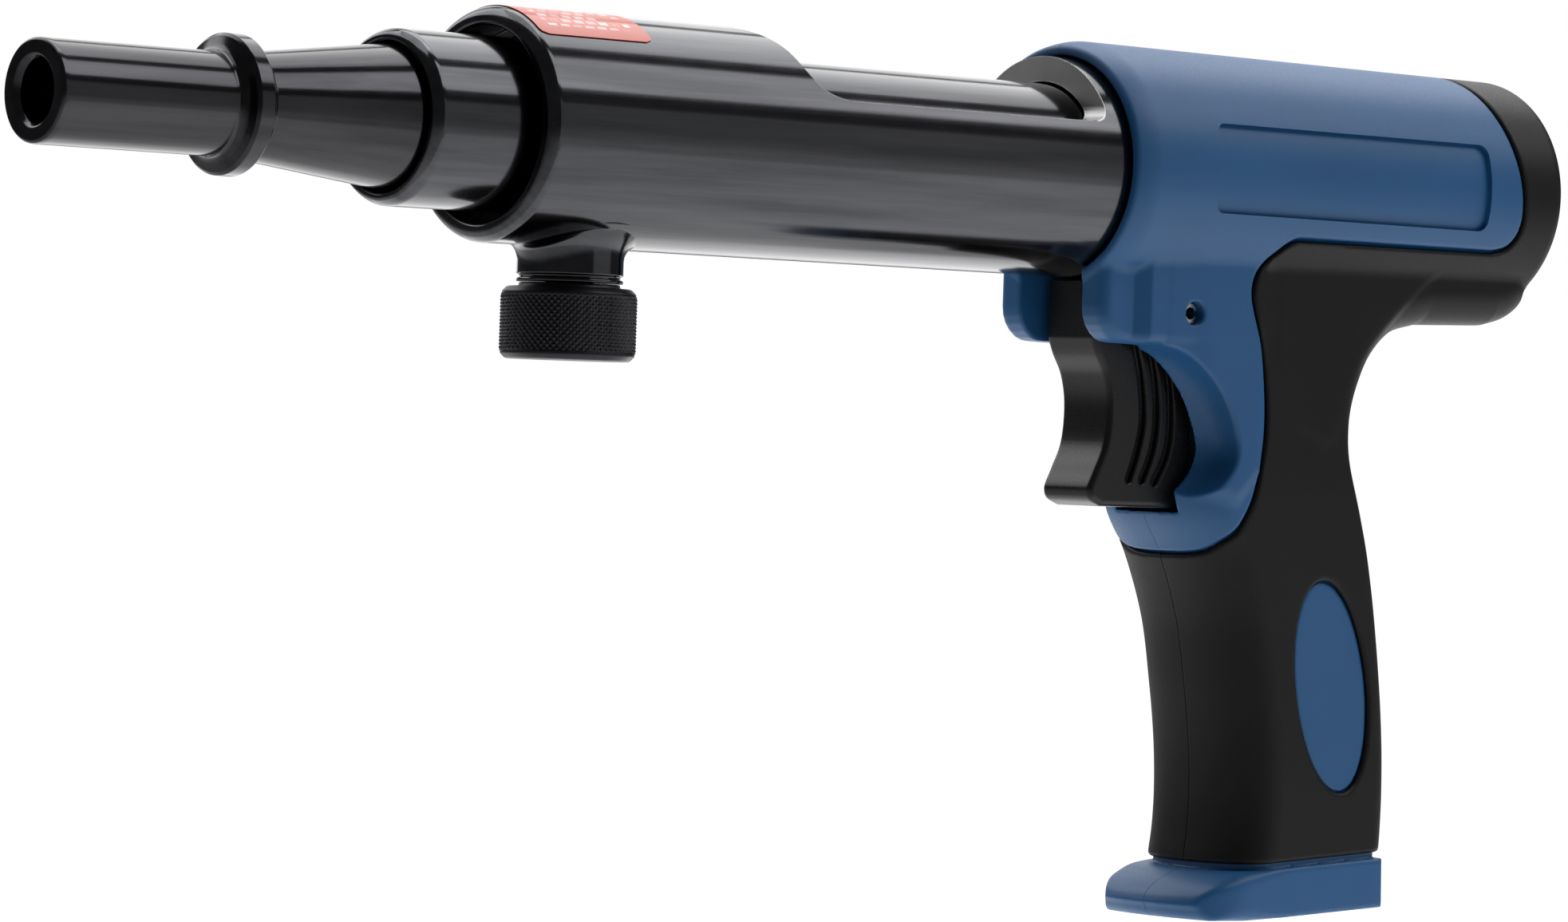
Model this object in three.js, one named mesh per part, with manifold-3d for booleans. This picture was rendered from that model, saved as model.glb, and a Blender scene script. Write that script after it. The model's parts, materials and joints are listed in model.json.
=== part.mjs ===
// Hand-held fastening tool with a sliding barrel, a slotted steel housing tube and a pistol grip.
// Millimetres. +X points out of the muzzle, +Y to the tool's left side, +Z up.
// The pieces are laid out along the barrel axis by station: the distance back from the muzzle face.
// The outermost group then puts the origin at the middle of the hand grip.
import * as THREE from 'three';
import { mergeVertices } from 'three/addons/utils/BufferGeometryUtils.js';
import Module from 'manifold-3d';

const wasm = await Module();
wasm.setup();

// ---- Driving dimensions -------------------------------------------------------------------------

const ROUND = 32;              // sides of a large round piece
const SMALL_ROUND = 16;        // sides of a small round piece
const GAP = 0.3;               // clearance between neighbouring pieces

const GRIP_ORIGIN = { station: 283, z: -95 };

const GUIDE = { radius: 8.6, bore: 5.0, chamfer: 1.0, collarRadius: 11.7, shankRadius: 12.2 };
const COLLAR = { front: 36.1, back: 39.6 };
const CONE = { front: 41.5, frontRadius: 8.8, back: 69.5 };
const SHANK_END = 90;
const RING = { station: 77.5, tubeRadius: 0.8, radius: 11.5, grooveRadius: 10.2, grooveHalf: 1.3 };

const BARREL = { front: 69.7, radius: 14.9, counterbore: 12.55, bore: 9.0, shoulder: 221, tail: 247 };
const BARREL_TAIL_RADIUS = 10.8;
const CHAMBER_RADIUS = 2.8;
const STOP_GROOVE = { front: 93, back: 184, depth: 1.8, width: 7 };

const TUBE = { front: 90.2, back: 318, radius: 20, bore: 15.2, counterbore: 16.7, counterEnd: 98 };
const WINDOW = { front: 156.3, back: 219.5, floor: 7.6 };
const STOP = { station: 111, neckRadius: 9.2, neckBottom: -26, hole: 4.7, pinRadius: 3, shankRadius: 4.4 };
const LABEL = { front: 92.5, back: 117, fromDegrees: 48, toDegrees: 120 };
const KNOB = { radius: 11.8, top: -26.8, bottom: -39.3 };

const BREECH = { front: 262.5, back: 276, pinHole: 1.7 };
const STRIKER = { tip: 264, flange: 277, flangeRadius: 7, bodyRadius: 5, bodyEnd: 300, tailRadius: 3, end: 312 };
const SPRING_SEAT = { front: 318.3, back: 323 };

const BODY = { radius: 23.3, front: 223.4, back: 338, tubeClearance: 20.35 };
const REAR_CAP = { front: 324, back: 337.2, radius: 18.5 };
const CHEEK = { half: 16.3, front: 223.5, bottom: -32, slotHalf: 7.2 };
const GRIP = { half: 15.6, bottom: -126.2, frontRound: 9.5, backRound: 6, squareness: 0.85 };
const PANEL = { front: 243.5, back: 316, bottom: -7.5, top: 8.9, depth: 0.8 };
const FOOT = { top: -126.5, bottom: -137.5, front: 252, back: 299.2, half: 16.6 };
const SKIN = 1.4;              // thickness of the soft grip layer
const SEAR = { pivot: 293, z: -12, pinRadius: 1.2, half: 3 };
const TRIGGER_BAR = { front: 247.1, back: 284.4, half: 2, bottom: -23, top: -20.8 };
const TRIGGER_SPRING = { front: 245, back: 264.4, z: -42, radius: 2.3, wire: 0.4 };
const WALL = 2.6;              // wall of the hard shells
const SCREW = { headRadius: 3.6, headDepth: 2.6, shankRadius: 1.6, bossRadius: 4.2 };

// ---- Colours ------------------------------------------------------------------------------------

const FINISH = {
  blackSteel: { color: 0x26272a, roughness: 0.28, metalness: 0.9 },
  springSteel: { color: 0x8d9096, roughness: 0.35, metalness: 1 },
  brightSteel: { color: 0xa9acb2, roughness: 0.25, metalness: 1 },
  blue: { color: 0x1f4e8c, roughness: 0.5, metalness: 0 },
  black: { color: 0x141416, roughness: 0.65, metalness: 0 },
  trigger: { color: 0x1b1c1f, roughness: 0.35, metalness: 0 },
  red: { color: 0xd8382c, roughness: 0.5, metalness: 0 },
  buffer: { color: 0x2b2b2b, roughness: 0.8, metalness: 0 },
};

// ---- Solids -------------------------------------------------------------------------------------

function solid(geometry) {
  const bare = geometry.clone();
  bare.deleteAttribute('normal');
  bare.deleteAttribute('uv');
  const merged = mergeVertices(bare, 1e-4);
  const vertProperties = new Float32Array(merged.attributes.position.array);
  const triVerts = new Uint32Array(merged.index.array);
  return new wasm.Manifold(new wasm.Mesh({ numProp: 3, vertProperties, triVerts }));
}

function geometryOf(manifold) {
  const mesh = manifold.getMesh();
  const geometry = new THREE.BufferGeometry();
  geometry.setAttribute('position', new THREE.BufferAttribute(new Float32Array(mesh.vertProperties), 3));
  geometry.setIndex(new THREE.BufferAttribute(new Uint32Array(mesh.triVerts), 1));
  geometry.computeVertexNormals();
  return geometry;
}

const place = (geometry, x, y, z) => geometry.translate(x, y, z);
const at = (station, z) => new THREE.Vector2(-station, z);

// A ring or rod round the barrel axis. The profile is [station, radius] pairs, closed on itself.
function turned(profile, sides = ROUND) {
  const points = profile.map(([station, radius]) => new THREE.Vector2(radius, -station));
  const signedArea = points.reduce((sum, p, i) => {
    const q = points[(i + 1) % points.length];
    return sum + p.x * q.y - q.x * p.y;
  }, 0);
  if (signedArea < 0) points.reverse();
  points.push(points[0].clone());
  const geometry = new THREE.LatheGeometry(points, sides);
  geometry.rotateZ(-Math.PI / 2);
  return solid(geometry);
}

// The same round a vertical axis: the profile is [radius, z] pairs.
function turnedUpright(profile, station, sides = ROUND) {
  const upright = turned(profile.map(([radius, z]) => [-z, radius]), sides);
  return upright.rotate([0, -90, 0]).translate([-station, 0, 0]);
}

const rod = (front, back, radius, sides) => (
  turned([[front, 0], [front, radius], [back, radius], [back, 0]], sides)
);
const uprightRod = (station, bottom, top, radius, sides) => (
  turnedUpright([[0, bottom], [radius, bottom], [radius, top], [0, top]], station, sides)
);

// A rod that lies across the tool, from one y to another.
function crossRod(station, z, fromY, toY, radius, sides = SMALL_ROUND) {
  const geometry = new THREE.CylinderGeometry(radius, radius, toY - fromY, sides);
  return solid(place(geometry, -station, (fromY + toY) / 2, z));
}

function block(front, back, halfWidth, bottom, top) {
  const geometry = new THREE.BoxGeometry(back - front, 2 * halfWidth, top - bottom);
  return solid(place(geometry, -(front + back) / 2, 0, (bottom + top) / 2));
}

// The outline's points, with no two closer together than a hundredth of a millimetre.
function polygon(shape, curveSegments) {
  const kept = [];
  for (const point of shape.getPoints(curveSegments)) {
    if (kept.every((other) => other.distanceTo(point) > 0.01)) kept.push(point);
  }
  return new THREE.Shape(kept);
}

// A side outline given thickness across the tool, from -half to +half.
function slab(shape, half, curveSegments = 2) {
  const depth = 2 * half;
  const geometry = new THREE.ExtrudeGeometry(polygon(shape, curveSegments), { depth, bevelEnabled: false });
  geometry.translate(0, 0, -half);
  geometry.rotateX(Math.PI / 2);
  return solid(geometry);
}

// The same with its edges rounded off, for outlines whose corners are all further apart than round.
function roundedSlab(shape, half, round, curveSegments = 2) {
  const geometry = new THREE.ExtrudeGeometry(polygon(shape, curveSegments), {
    depth: 2 * (half - round),
    bevelThickness: round,
    bevelSize: round,
    bevelOffset: -round,
    bevelSegments: 2,
  });
  geometry.translate(0, 0, round - half);
  geometry.rotateX(Math.PI / 2);
  return solid(geometry);
}

// A closed skin over level rings of equal point counts, stacked from the top down.
function loft(rings) {
  const count = rings[0].length;
  const positions = [];
  const triangles = [];
  rings.forEach((ring) => ring.forEach((point) => positions.push(point.x, point.y, point.z)));
  for (let level = 0; level < rings.length - 1; level += 1) {
    for (let i = 0; i < count; i += 1) {
      const next = (i + 1) % count;
      const upper = level * count;
      const lower = upper + count;
      triangles.push(upper + i, lower + i, upper + next, upper + next, lower + i, lower + next);
    }
  }
  const last = (rings.length - 1) * count;
  for (let i = 1; i < count - 1; i += 1) {
    triangles.push(0, i, i + 1, last, last + i + 1, last + i);
  }
  const geometry = new THREE.BufferGeometry();
  geometry.setAttribute('position', new THREE.Float32BufferAttribute(positions, 3));
  geometry.setIndex(triangles);
  return solid(geometry);
}

function sheet(points) {
  return new THREE.Shape(points.map(([station, z]) => at(station, z)));
}

// ---- Side outlines ------------------------------------------------------------------------------

// Where the grip's front and back lie on the middle plane, from the top of the grip to its foot.
const GRIP_LEVELS = [
  { z: -12, front: 237, back: 320 },
  { z: -25.8, front: 240, back: 302.5 },
  { z: -32.5, front: 241.2, back: 294.5 },
  { z: -38.6, front: 242.6, back: 291.8 },
  { z: -45, front: 244, back: 290.8 },
  { z: -52, front: 245.8, back: 291.4 },
  { z: -62.3, front: 248.5, back: 295 },
  { z: -70.4, front: 254, back: 297.3 },
  { z: -82, front: 258.8, back: 300 },
  { z: -94.7, front: 261.4, back: 302 },
  { z: -112, front: 263.4, back: 303.5 },
  { z: GRIP.bottom, front: 262.8, back: 303.1 },
];

// A level section of the grip: a broad rounded front, flat sides and a tighter rounded back.
function gripRing({ z, front, back }, inset) {
  const half = GRIP.half - inset;
  const ring = [];
  const corner = (centre, depth, steps, from) => {
    for (let i = 0; i <= steps; i += 1) {
      const angle = from + (i / steps) * Math.PI;
      const across = Math.sign(Math.sin(angle)) * Math.abs(Math.sin(angle)) ** GRIP.squareness;
      const along = Math.sign(Math.cos(angle)) * Math.abs(Math.cos(angle)) ** GRIP.squareness;
      ring.push(new THREE.Vector3(-(centre + depth * across), half * along, z));
    }
  };
  corner(back - inset - GRIP.backRound, GRIP.backRound, 8, 0);
  corner(front + inset + GRIP.frontRound, GRIP.frontRound, 10, Math.PI);
  return ring;
}

function gripSolid(inset) {
  return loft(GRIP_LEVELS.map((level) => gripRing(level, inset)));
}

// The trigger housing in side view, down to its level lower edge.
function cheekOutline(inset) {
  const corner = 6 - inset;
  const front = CHEEK.front + inset;
  const bottom = CHEEK.bottom + inset;
  const shape = new THREE.Shape();
  shape.moveTo(-front, -8);
  shape.lineTo(-front, bottom + corner);
  shape.absarc(-(front + corner), bottom + corner, corner, 0, -Math.PI / 2, true);
  shape.lineTo(-262, bottom);
  shape.lineTo(-262, -8);
  return shape;
}

// The finger space behind the trigger, with the curved edge that it cuts into the cheeks.
function scoopOutline() {
  const shape = new THREE.Shape();
  shape.moveTo(-210, CHEEK.bottom);
  shape.lineTo(-240.5, CHEEK.bottom);
  shape.splineThru([at(246.5, -34), at(253.6, -43), at(256.6, -50.4), at(253.6, -57), at(246.5, -62.3)]);
  shape.lineTo(-210, -62.3);
  return shape;
}

// The underside of the lobe at the rear.
function lobeOutline(inset) {
  const back = BODY.back - 1.7 - inset;
  return sheet([[296, -4], [300, -25 + inset], [328, -24.8 + inset], [back, -19], [back, -4]]);
}

// The line in side view between the hard blue shell, ahead of it, and the soft black layer behind it.
function seamOutline(grow) {
  const shape = new THREE.Shape();
  shape.moveTo(-215, 30);
  shape.lineTo(-322.6 - grow, 30);
  shape.lineTo(-322.6 - grow, 4);
  shape.splineThru([at(325 + grow, -5), at(324.6 + grow, -9.6 - grow), at(320, -10.6 - grow)]);
  shape.lineTo(-271.8, -11 - grow);
  shape.splineThru([
    at(263 + grow, -14.6 - grow), at(258.6 + grow, -21), at(261 + grow, -28.4),
    at(264.4 + grow, -45), at(262.4 + grow, -58), at(256 + grow, -66.4 - grow),
  ]);
  shape.lineTo(-250, -70.2 - grow);
  shape.lineTo(-215, -70.2 - grow);
  return shape;
}

function ovalOutline(grow = 0) {
  const shape = new THREE.Shape();
  const tilt = THREE.MathUtils.degToRad(97);
  shape.absellipse(-285, -94, 20 + grow, 8 + grow, 0, 2 * Math.PI, false, tilt);
  return shape;
}

// ---- Barrel group -------------------------------------------------------------------------------

function muzzleGuide() {
  const g = GUIDE;
  const profile = [
    [0, g.bore + 0.6], [0, g.radius - g.chamfer], [g.chamfer, g.radius], [33.2, g.radius],
    [35.2, 9.3], [COLLAR.front, 10.6], [36.6, g.collarRadius], [COLLAR.back - 0.5, g.collarRadius],
    [COLLAR.back, 11.2], [COLLAR.back, 9.9], [41, 9.9], [CONE.front, CONE.frontRadius],
    [CONE.back, g.shankRadius], [RING.station - RING.grooveHalf, g.shankRadius],
    [RING.station - RING.grooveHalf, RING.grooveRadius], [RING.station + RING.grooveHalf, RING.grooveRadius],
    [RING.station + RING.grooveHalf, g.shankRadius], [SHANK_END - 0.8, g.shankRadius],
    [SHANK_END, g.shankRadius - 0.8], [SHANK_END, g.bore], [0.8, g.bore],
  ];
  return turned(profile);
}

function retainingRing() {
  const points = [];
  for (let i = 0; i < 6; i += 1) {
    const angle = (i / 6) * 2 * Math.PI;
    points.push([RING.station + RING.tubeRadius * Math.cos(angle), RING.radius + RING.tubeRadius * Math.sin(angle)]);
  }
  return turned(points);
}

function barrel() {
  const b = BARREL;
  const lip = 1.6;
  const tube = turned([
    [b.front, b.counterbore + 0.5], [b.front, b.radius - lip], [b.front + lip, b.radius],
    [b.shoulder, b.radius], [b.shoulder, BARREL_TAIL_RADIUS], [b.tail, BARREL_TAIL_RADIUS],
    [b.tail, CHAMBER_RADIUS], [b.shoulder + 1, CHAMBER_RADIUS], [b.shoulder + 1, b.bore],
    [SHANK_END + 1, b.bore], [SHANK_END + 1, b.counterbore], [b.front + 0.5, b.counterbore],
  ]);
  const floor = -b.radius + STOP_GROOVE.depth;
  const groove = block(STOP_GROOVE.front, STOP_GROOVE.back, STOP_GROOVE.width / 2, -b.radius - 2, floor);
  return tube.subtract(groove);
}

function bufferRing(front) {
  return turned([[front, 5.4], [front, 8.6], [front + 5.4, 8.6], [front + 5.4, 5.4]], 32);
}

const PISTON = { head: 205, back: 221.6, headRadius: 8.7, rodRadius: 4.5, tip: 104.5 };
const PISTON_RINGS = [209, 214];

function piston() {
  const ringHalf = 1.2;
  const profile = [[PISTON.tip, 0], [PISTON.tip, PISTON.rodRadius - 0.6], [PISTON.tip + 0.6, PISTON.rodRadius]];
  profile.push([PISTON.head - 2, PISTON.rodRadius], [PISTON.head, PISTON.headRadius]);
  for (const station of PISTON_RINGS) {
    profile.push([station - ringHalf, PISTON.headRadius], [station - ringHalf, 7.3]);
    profile.push([station + ringHalf, 7.3], [station + ringHalf, PISTON.headRadius]);
  }
  profile.push([PISTON.back, PISTON.headRadius], [PISTON.back, 0]);
  return turned(profile, 32);
}

function pistonRing(station) {
  return turned([[station - 0.8, 7.6], [station - 0.8, 8.85], [station + 0.8, 8.85], [station + 0.8, 7.6]], 32);
}

// A round wire wound round the barrel axis.
function coilSpring(front, back, radius, wireRadius, turns) {
  const stepsPerTurn = 8;
  const points = [];
  for (let i = 0; i <= turns * stepsPerTurn; i += 1) {
    const share = i / (turns * stepsPerTurn);
    const angle = share * turns * 2 * Math.PI;
    const station = front + wireRadius + share * (back - front - 2 * wireRadius);
    points.push(new THREE.Vector3(-station, radius * Math.cos(angle), radius * Math.sin(angle)));
  }
  return wire(points, wireRadius);
}

function wire(points, wireRadius) {
  const section = new THREE.Shape();
  section.absarc(0, 0, wireRadius, 0, 2 * Math.PI);
  const geometry = new THREE.ExtrudeGeometry(section, {
    steps: points.length - 1,
    curveSegments: 3,
    bevelEnabled: false,
    extrudePath: new THREE.CatmullRomCurve3(points),
  });
  return solid(geometry);
}

// ---- Housing tube and stop pin ------------------------------------------------------------------

// The window is cut level, with an S-shaped ramp at its front and a small round at its rear foot.
function windowCutter() {
  const shape = new THREE.Shape();
  shape.moveTo(-140, 30);
  shape.lineTo(-140, 20.4);
  shape.splineThru([at(143.5, 19.6), at(146.1, 18.1), at(148.5, 14), at(150.6, 10.4), at(WINDOW.front, WINDOW.floor)]);
  shape.lineTo(-(WINDOW.back - 3), WINDOW.floor);
  shape.quadraticCurveTo(-WINDOW.back, WINDOW.floor, -WINDOW.back, WINDOW.floor + 3);
  shape.lineTo(-WINDOW.back, 30);
  return slab(shape, 24);
}

function housingTube() {
  const t = TUBE;
  const rim = 1.4;
  const body = turned([
    [t.front, t.counterbore + 0.4], [t.front, t.radius - rim], [t.front + rim, t.radius],
    [t.back, t.radius], [t.back, t.bore], [t.counterEnd, t.bore], [t.counterEnd, t.counterbore],
    [t.front + 0.4, t.counterbore],
  ]);
  const neck = turnedUpright([
    [0, STOP.neckBottom], [STOP.neckRadius - 0.6, STOP.neckBottom], [STOP.neckRadius, STOP.neckBottom + 0.6],
    [STOP.neckRadius, -22.5], [STOP.neckRadius + 1.2, -20.4], [STOP.neckRadius + 3.4, -18.2],
    [STOP.neckRadius + 3.4, -16], [0, -16],
  ], STOP.station, 28);
  const bore = rod(t.front - 1, t.back + 1, t.bore);
  const counterbore = rod(t.front - 1, t.counterEnd, t.counterbore);
  const pinHole = uprightRod(STOP.station, -30, -10, STOP.hole, SMALL_ROUND);
  const searPinHole = crossRod(SEAR.pivot, SEAR.z, -25, 25, SEAR.pinRadius + GAP, 12);
  return body.add(neck).subtract(bore).subtract(counterbore).subtract(pinHole).subtract(windowCutter())
    .subtract(searSlot()).subtract(searPinHole);
}

function stopPin() {
  const shoulder = -16.2;
  const shankEnd = -36.4;
  return turnedUpright([
    [0, -13.5], [STOP.pinRadius - 0.4, -13.5], [STOP.pinRadius, -13.9], [STOP.pinRadius, shoulder],
    [STOP.shankRadius, shoulder - 0.6], [STOP.shankRadius, shankEnd], [0, shankEnd],
  ], STOP.station, SMALL_ROUND);
}

function stopKnob() {
  const ease = 1;
  return turnedUpright([
    [STOP.hole, KNOB.top], [KNOB.radius - ease, KNOB.top], [KNOB.radius, KNOB.top - ease],
    [KNOB.radius, KNOB.bottom + ease], [KNOB.radius - ease, KNOB.bottom], [0, KNOB.bottom],
    [0, -36.7], [STOP.hole, -36.7],
  ], STOP.station, 36);
}

// The label is a thin curved plate on the upper left of the tube's front.
function label() {
  const inner = TUBE.radius + 0.05;
  const outer = TUBE.radius + 0.35;
  const ring = turned([
    [LABEL.front, inner], [LABEL.front, outer], [LABEL.back, outer], [LABEL.back, inner],
  ], 72);
  const reach = 30;
  const wedge = new THREE.Shape();
  wedge.moveTo(0, 0);
  for (let degrees = LABEL.fromDegrees; degrees <= LABEL.toDegrees; degrees += 24) {
    const angle = THREE.MathUtils.degToRad(degrees);
    wedge.lineTo(reach * Math.cos(angle), reach * Math.sin(angle));
  }
  const geometry = new THREE.ExtrudeGeometry(wedge, { depth: LABEL.back - LABEL.front + 4, bevelEnabled: false });
  const across = new THREE.Vector3(0, 1, 0);
  const up = new THREE.Vector3(0, 0, 1);
  const forward = new THREE.Vector3(1, 0, 0);
  geometry.applyMatrix4(new THREE.Matrix4().makeBasis(across, up, forward));
  geometry.translate(-LABEL.back - 2, 0, 0);
  return ring.intersect(solid(geometry));
}

// ---- Breech and firing group --------------------------------------------------------------------

function breechBlock() {
  const b = BREECH;
  return turned([[b.front, b.pinHole], [b.front, 13.6], [b.front + 1, 14.7], [b.back, 14.7], [b.back, b.pinHole]]);
}

function firingPin() {
  const s = STRIKER;
  return turned([
    [s.tip, 0], [s.tip, 1.3], [s.flange, 1.3], [s.flange, s.flangeRadius], [s.flange + 6, s.flangeRadius],
    [s.flange + 6, s.bodyRadius], [s.bodyEnd, s.bodyRadius], [s.bodyEnd, s.tailRadius],
    [s.end, s.tailRadius], [s.end, 0],
  ], 24);
}

function springSeat() {
  const s = SPRING_SEAT;
  return turned([[s.front, 3.4], [s.front, 16.6], [s.back, 16.6], [s.back, 3.4]], 28);
}

function rearCap() {
  const c = REAR_CAP;
  const cap = turned([
    [c.front, 4], [c.front, c.radius], [c.back - 1.2, c.radius], [c.back, c.radius - 1.2],
    [c.back, 0], [c.back - 5, 0], [c.back - 5, 4],
  ], ROUND);
  const coinSlot = block(c.back - 2, c.back + 1, 1.2, -11, 11);
  return cap.subtract(coinSlot);
}

// The sear: a nose under the firing pin's flange, a pivot hole, and an arm that the trigger bar pushes.
function sear() {
  const lever = slab(sheet([
    [281, -7.8], [285.6, -7.8], [288.5, -9.6], [296.8, -9.6], [296.8, -14], [290.2, -14.6],
    [290.2, -23.4], [287.2, -23.4], [287.2, -14], [281, -12.6],
  ]), SEAR.half);
  return lever.subtract(crossRod(SEAR.pivot, SEAR.z, -5, 5, SEAR.pinRadius + GAP, 12));
}

function searSlot() {
  return block(279.4, 299, SEAR.half + 0.6, -22, -9);
}

// A small upright spring under the sear's nose.
function searSpring() {
  const radius = 1.5;
  const length = 6;
  const turns = 4;
  const steps = 32;
  const points = [];
  for (let i = 0; i <= steps; i += 1) {
    const angle = (i / steps) * turns * 2 * Math.PI;
    const x = -283.6 + radius * Math.cos(angle);
    points.push(new THREE.Vector3(x, radius * Math.sin(angle), -13.9 - length * (i / steps)));
  }
  return wire(points, 0.3);
}

// ---- Trigger ------------------------------------------------------------------------------------

const TRIGGER = { half: 6.5, top: -20.4, bottom: -61.6 };

function triggerShape() {
  const shape = new THREE.Shape();
  shape.moveTo(-229.2, TRIGGER.top);
  shape.lineTo(-229.2, -31.9);
  shape.splineThru([at(232.2, -37.4), at(233.6, -44.6), at(232.6, -51.4), at(229.4, -58.2)]);
  shape.lineTo(-228, TRIGGER.bottom);
  shape.lineTo(-250.6, TRIGGER.bottom);
  shape.splineThru([at(254.4, -55), at(254.6, -47), at(249.2, -35.5), at(246.8, -33)]);
  shape.lineTo(-246.8, TRIGGER.top);
  return shape;
}

function trigger() {
  const flank = [
    [239.1, -32.4, 238.5, -56.7, 242.6],
    [243.8, -34.3, 242.1, -56.6, 246.6],
    [248.1, -37.1, 245.4, -57.3, 250.2],
  ];
  let body = roundedSlab(triggerShape(), TRIGGER.half, 1);
  const pinSlot = block(236.4, 247.2, 20, -28.1, -23.5);
  const springPocket = rod(244.7, 260, 3.3, SMALL_ROUND).translate([0, 0, TRIGGER_SPRING.z]);
  body = body.subtract(pinSlot).subtract(springPocket);
  for (const [topStation, topZ, footStation, footZ, bulge] of flank) {
    const line = new THREE.QuadraticBezierCurve3(
      new THREE.Vector3(-topStation, TRIGGER.half, topZ),
      new THREE.Vector3(-bulge, TRIGGER.half, (topZ + footZ) / 2),
      new THREE.Vector3(-footStation, TRIGGER.half, footZ),
    );
    const groove = wire(line.getPoints(4), 0.55);
    body = body.subtract(groove).subtract(groove.mirror([0, 1, 0]));
  }
  return body;
}

function triggerBar() {
  const bar = TRIGGER_BAR;
  return block(bar.front, bar.back, bar.half, bar.bottom, bar.top);
}

function triggerSpring() {
  const spring = TRIGGER_SPRING;
  return coilSpring(spring.front, spring.back, spring.radius, spring.wire, 6).translate([0, 0, spring.z]);
}

// ---- Housing shells and soft grip layer ---------------------------------------------------------

function barrelHousing(inset) {
  const front = BODY.front + inset;
  const back = BODY.back - inset;
  const radius = BODY.radius - inset;
  const drop = 0.65 * (radius - BODY.tubeClearance);
  const rim = 3.6;
  return turned([
    [front, 0], [front, radius - drop], [front + 0.3 * rim, radius - 0.3 * drop], [front + rim, radius],
    [back - rim, radius], [back - 0.3 * rim, radius - 0.3 * drop], [back, radius - drop], [back, 0],
  ], 40);
}

function footSolid() {
  const shape = sheet([
    [FOOT.front + 1.6, FOOT.bottom], [FOOT.back, FOOT.bottom], [FOOT.back - 0.4, FOOT.top],
    [262, FOOT.top], [256, FOOT.top - 2], [FOOT.front + 0.4, FOOT.top - 5.4],
  ]);
  return roundedSlab(shape, FOOT.half, 1.4);
}

// The whole outside of the body, less an inset: housing cylinder, cheeks, grip and lobe.
function bodyOuter(inset) {
  const cheeks = roundedSlab(cheekOutline(inset), CHEEK.half - inset, 1.5);
  const lobe = roundedSlab(lobeOutline(inset), 15 - inset, 4);
  return barrelHousing(inset).add(gripSolid(inset)).add(cheeks).add(lobe).subtract(slab(scoopOutline(), 40, 3));
}

// Everything that has to stay open inside the shells: the steel tube, the trigger and the works.
function bodyInside() {
  const tubeSpace = rod(BODY.front - 5, BODY.back + 1, BODY.tubeClearance, 40);
  const triggerSpace = block(215, 261.6, CHEEK.slotHalf, -62.2, -19);
  const barSpace = block(261, 269, 3, -24, -19);
  const springSpace = rod(261, 264.8, 3.3, SMALL_ROUND).translate([0, 0, TRIGGER_SPRING.z]);
  return tubeSpace.add(triggerSpace).add(barSpace).add(springSpace);
}

const SCREWS = [
  { station: 263, z: -27 }, { station: 287, z: -31 }, { station: 272, z: -58 },
  { station: 275, z: -119 }, { station: 296, z: -118 },
];
const ROLL_PIN = { station: 244.7, z: -25.8, radius: 2 };

function screwBosses(radius) {
  return SCREWS.map(({ station, z }) => crossRod(station, z, -GRIP.half + 4, GRIP.half - 4, radius));
}

function gripHollow() {
  let hollow = gripSolid(SKIN + WALL).subtract(block(200, 268, 30, -74, 0));
  for (const boss of screwBosses(SCREW.bossRadius)) hollow = hollow.subtract(boss);
  return hollow;
}

// Screws come in from the right side, through the skin and the right shell, into the left shell.
function screwSpace() {
  let space = null;
  for (const { station, z } of SCREWS) {
    const shank = crossRod(station, z, -9, 8, SCREW.shankRadius + 0.3, 12);
    const head = crossRod(station, z, -24, -9, SCREW.headRadius + 0.4, SMALL_ROUND);
    const pair = shank.add(head);
    space = space === null ? pair : space.add(pair);
  }
  return space;
}

function screw({ station, z }) {
  const head = crossRod(station, z, -9 - SCREW.headDepth, -9.2, SCREW.headRadius);
  const shank = crossRod(station, z, -9.4, 7.4, SCREW.shankRadius, 12);
  const socket = crossRod(station, z, -12, -9 - SCREW.headDepth + 1.4, 1.7, 6);
  return head.add(shank).subtract(socket);
}

function shellsAndSkins() {
  const frontArea = slab(seamOutline(0), 40, 3);
  const outer = bodyOuter(0);
  const core = bodyOuter(SKIN);
  const oval = slab(ovalOutline(), 30, 10);
  const ovalGap = slab(ovalOutline(GAP), 30, 10);
  const rollPin = crossRod(ROLL_PIN.station, ROLL_PIN.z, -30, 30, ROLL_PIN.radius + 0.1, SMALL_ROUND);
  const open = bodyInside().add(gripHollow()).add(screwSpace()).add(rollPin);
  const panel = block(PANEL.front, PANEL.back, 2, PANEL.bottom, PANEL.top)
    .translate([0, BODY.radius - PANEL.depth + 2, 0]);
  // The ankle joins the foot to the core, inside the soft layer.
  const ankle = block(268, 298, GRIP.half - 3.6, FOOT.top - 2, GRIP.bottom + 2);
  const shells = outer.intersect(frontArea).add(core).add(outer.intersect(oval)).add(footSolid()).add(ankle)
    .subtract(open).subtract(panel).subtract(panel.mirror([0, 1, 0]));
  const coreGap = bodyOuter(SKIN - GAP);
  const frontGap = slab(seamOutline(GAP * 2), 40, 3);
  const skins = outer.subtract(coreGap).subtract(frontGap).subtract(ovalGap).subtract(open);
  return { shells, skins };
}

// One half of a solid, split on the tool's middle plane with a hairline parting line.
function half(whole, side) {
  const keep = new THREE.BoxGeometry(400, 60, 300);
  const cutter = solid(place(keep, -250, side * 30.1, -50));
  return withoutSlivers(whole.intersect(cutter));
}

// Cuts along nearly equal surfaces leave slivers, which are dropped once the points are rounded.
function withoutSlivers(whole) {
  const pieces = solid(geometryOf(whole)).decompose();
  return pieces.filter((piece) => piece.volume() > 1).reduce((sum, piece) => sum.add(piece));
}

// ---- Assembly -----------------------------------------------------------------------------------

const tool = new THREE.Group();
tool.position.set(GRIP_ORIGIN.station, 0, -GRIP_ORIGIN.z);

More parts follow.
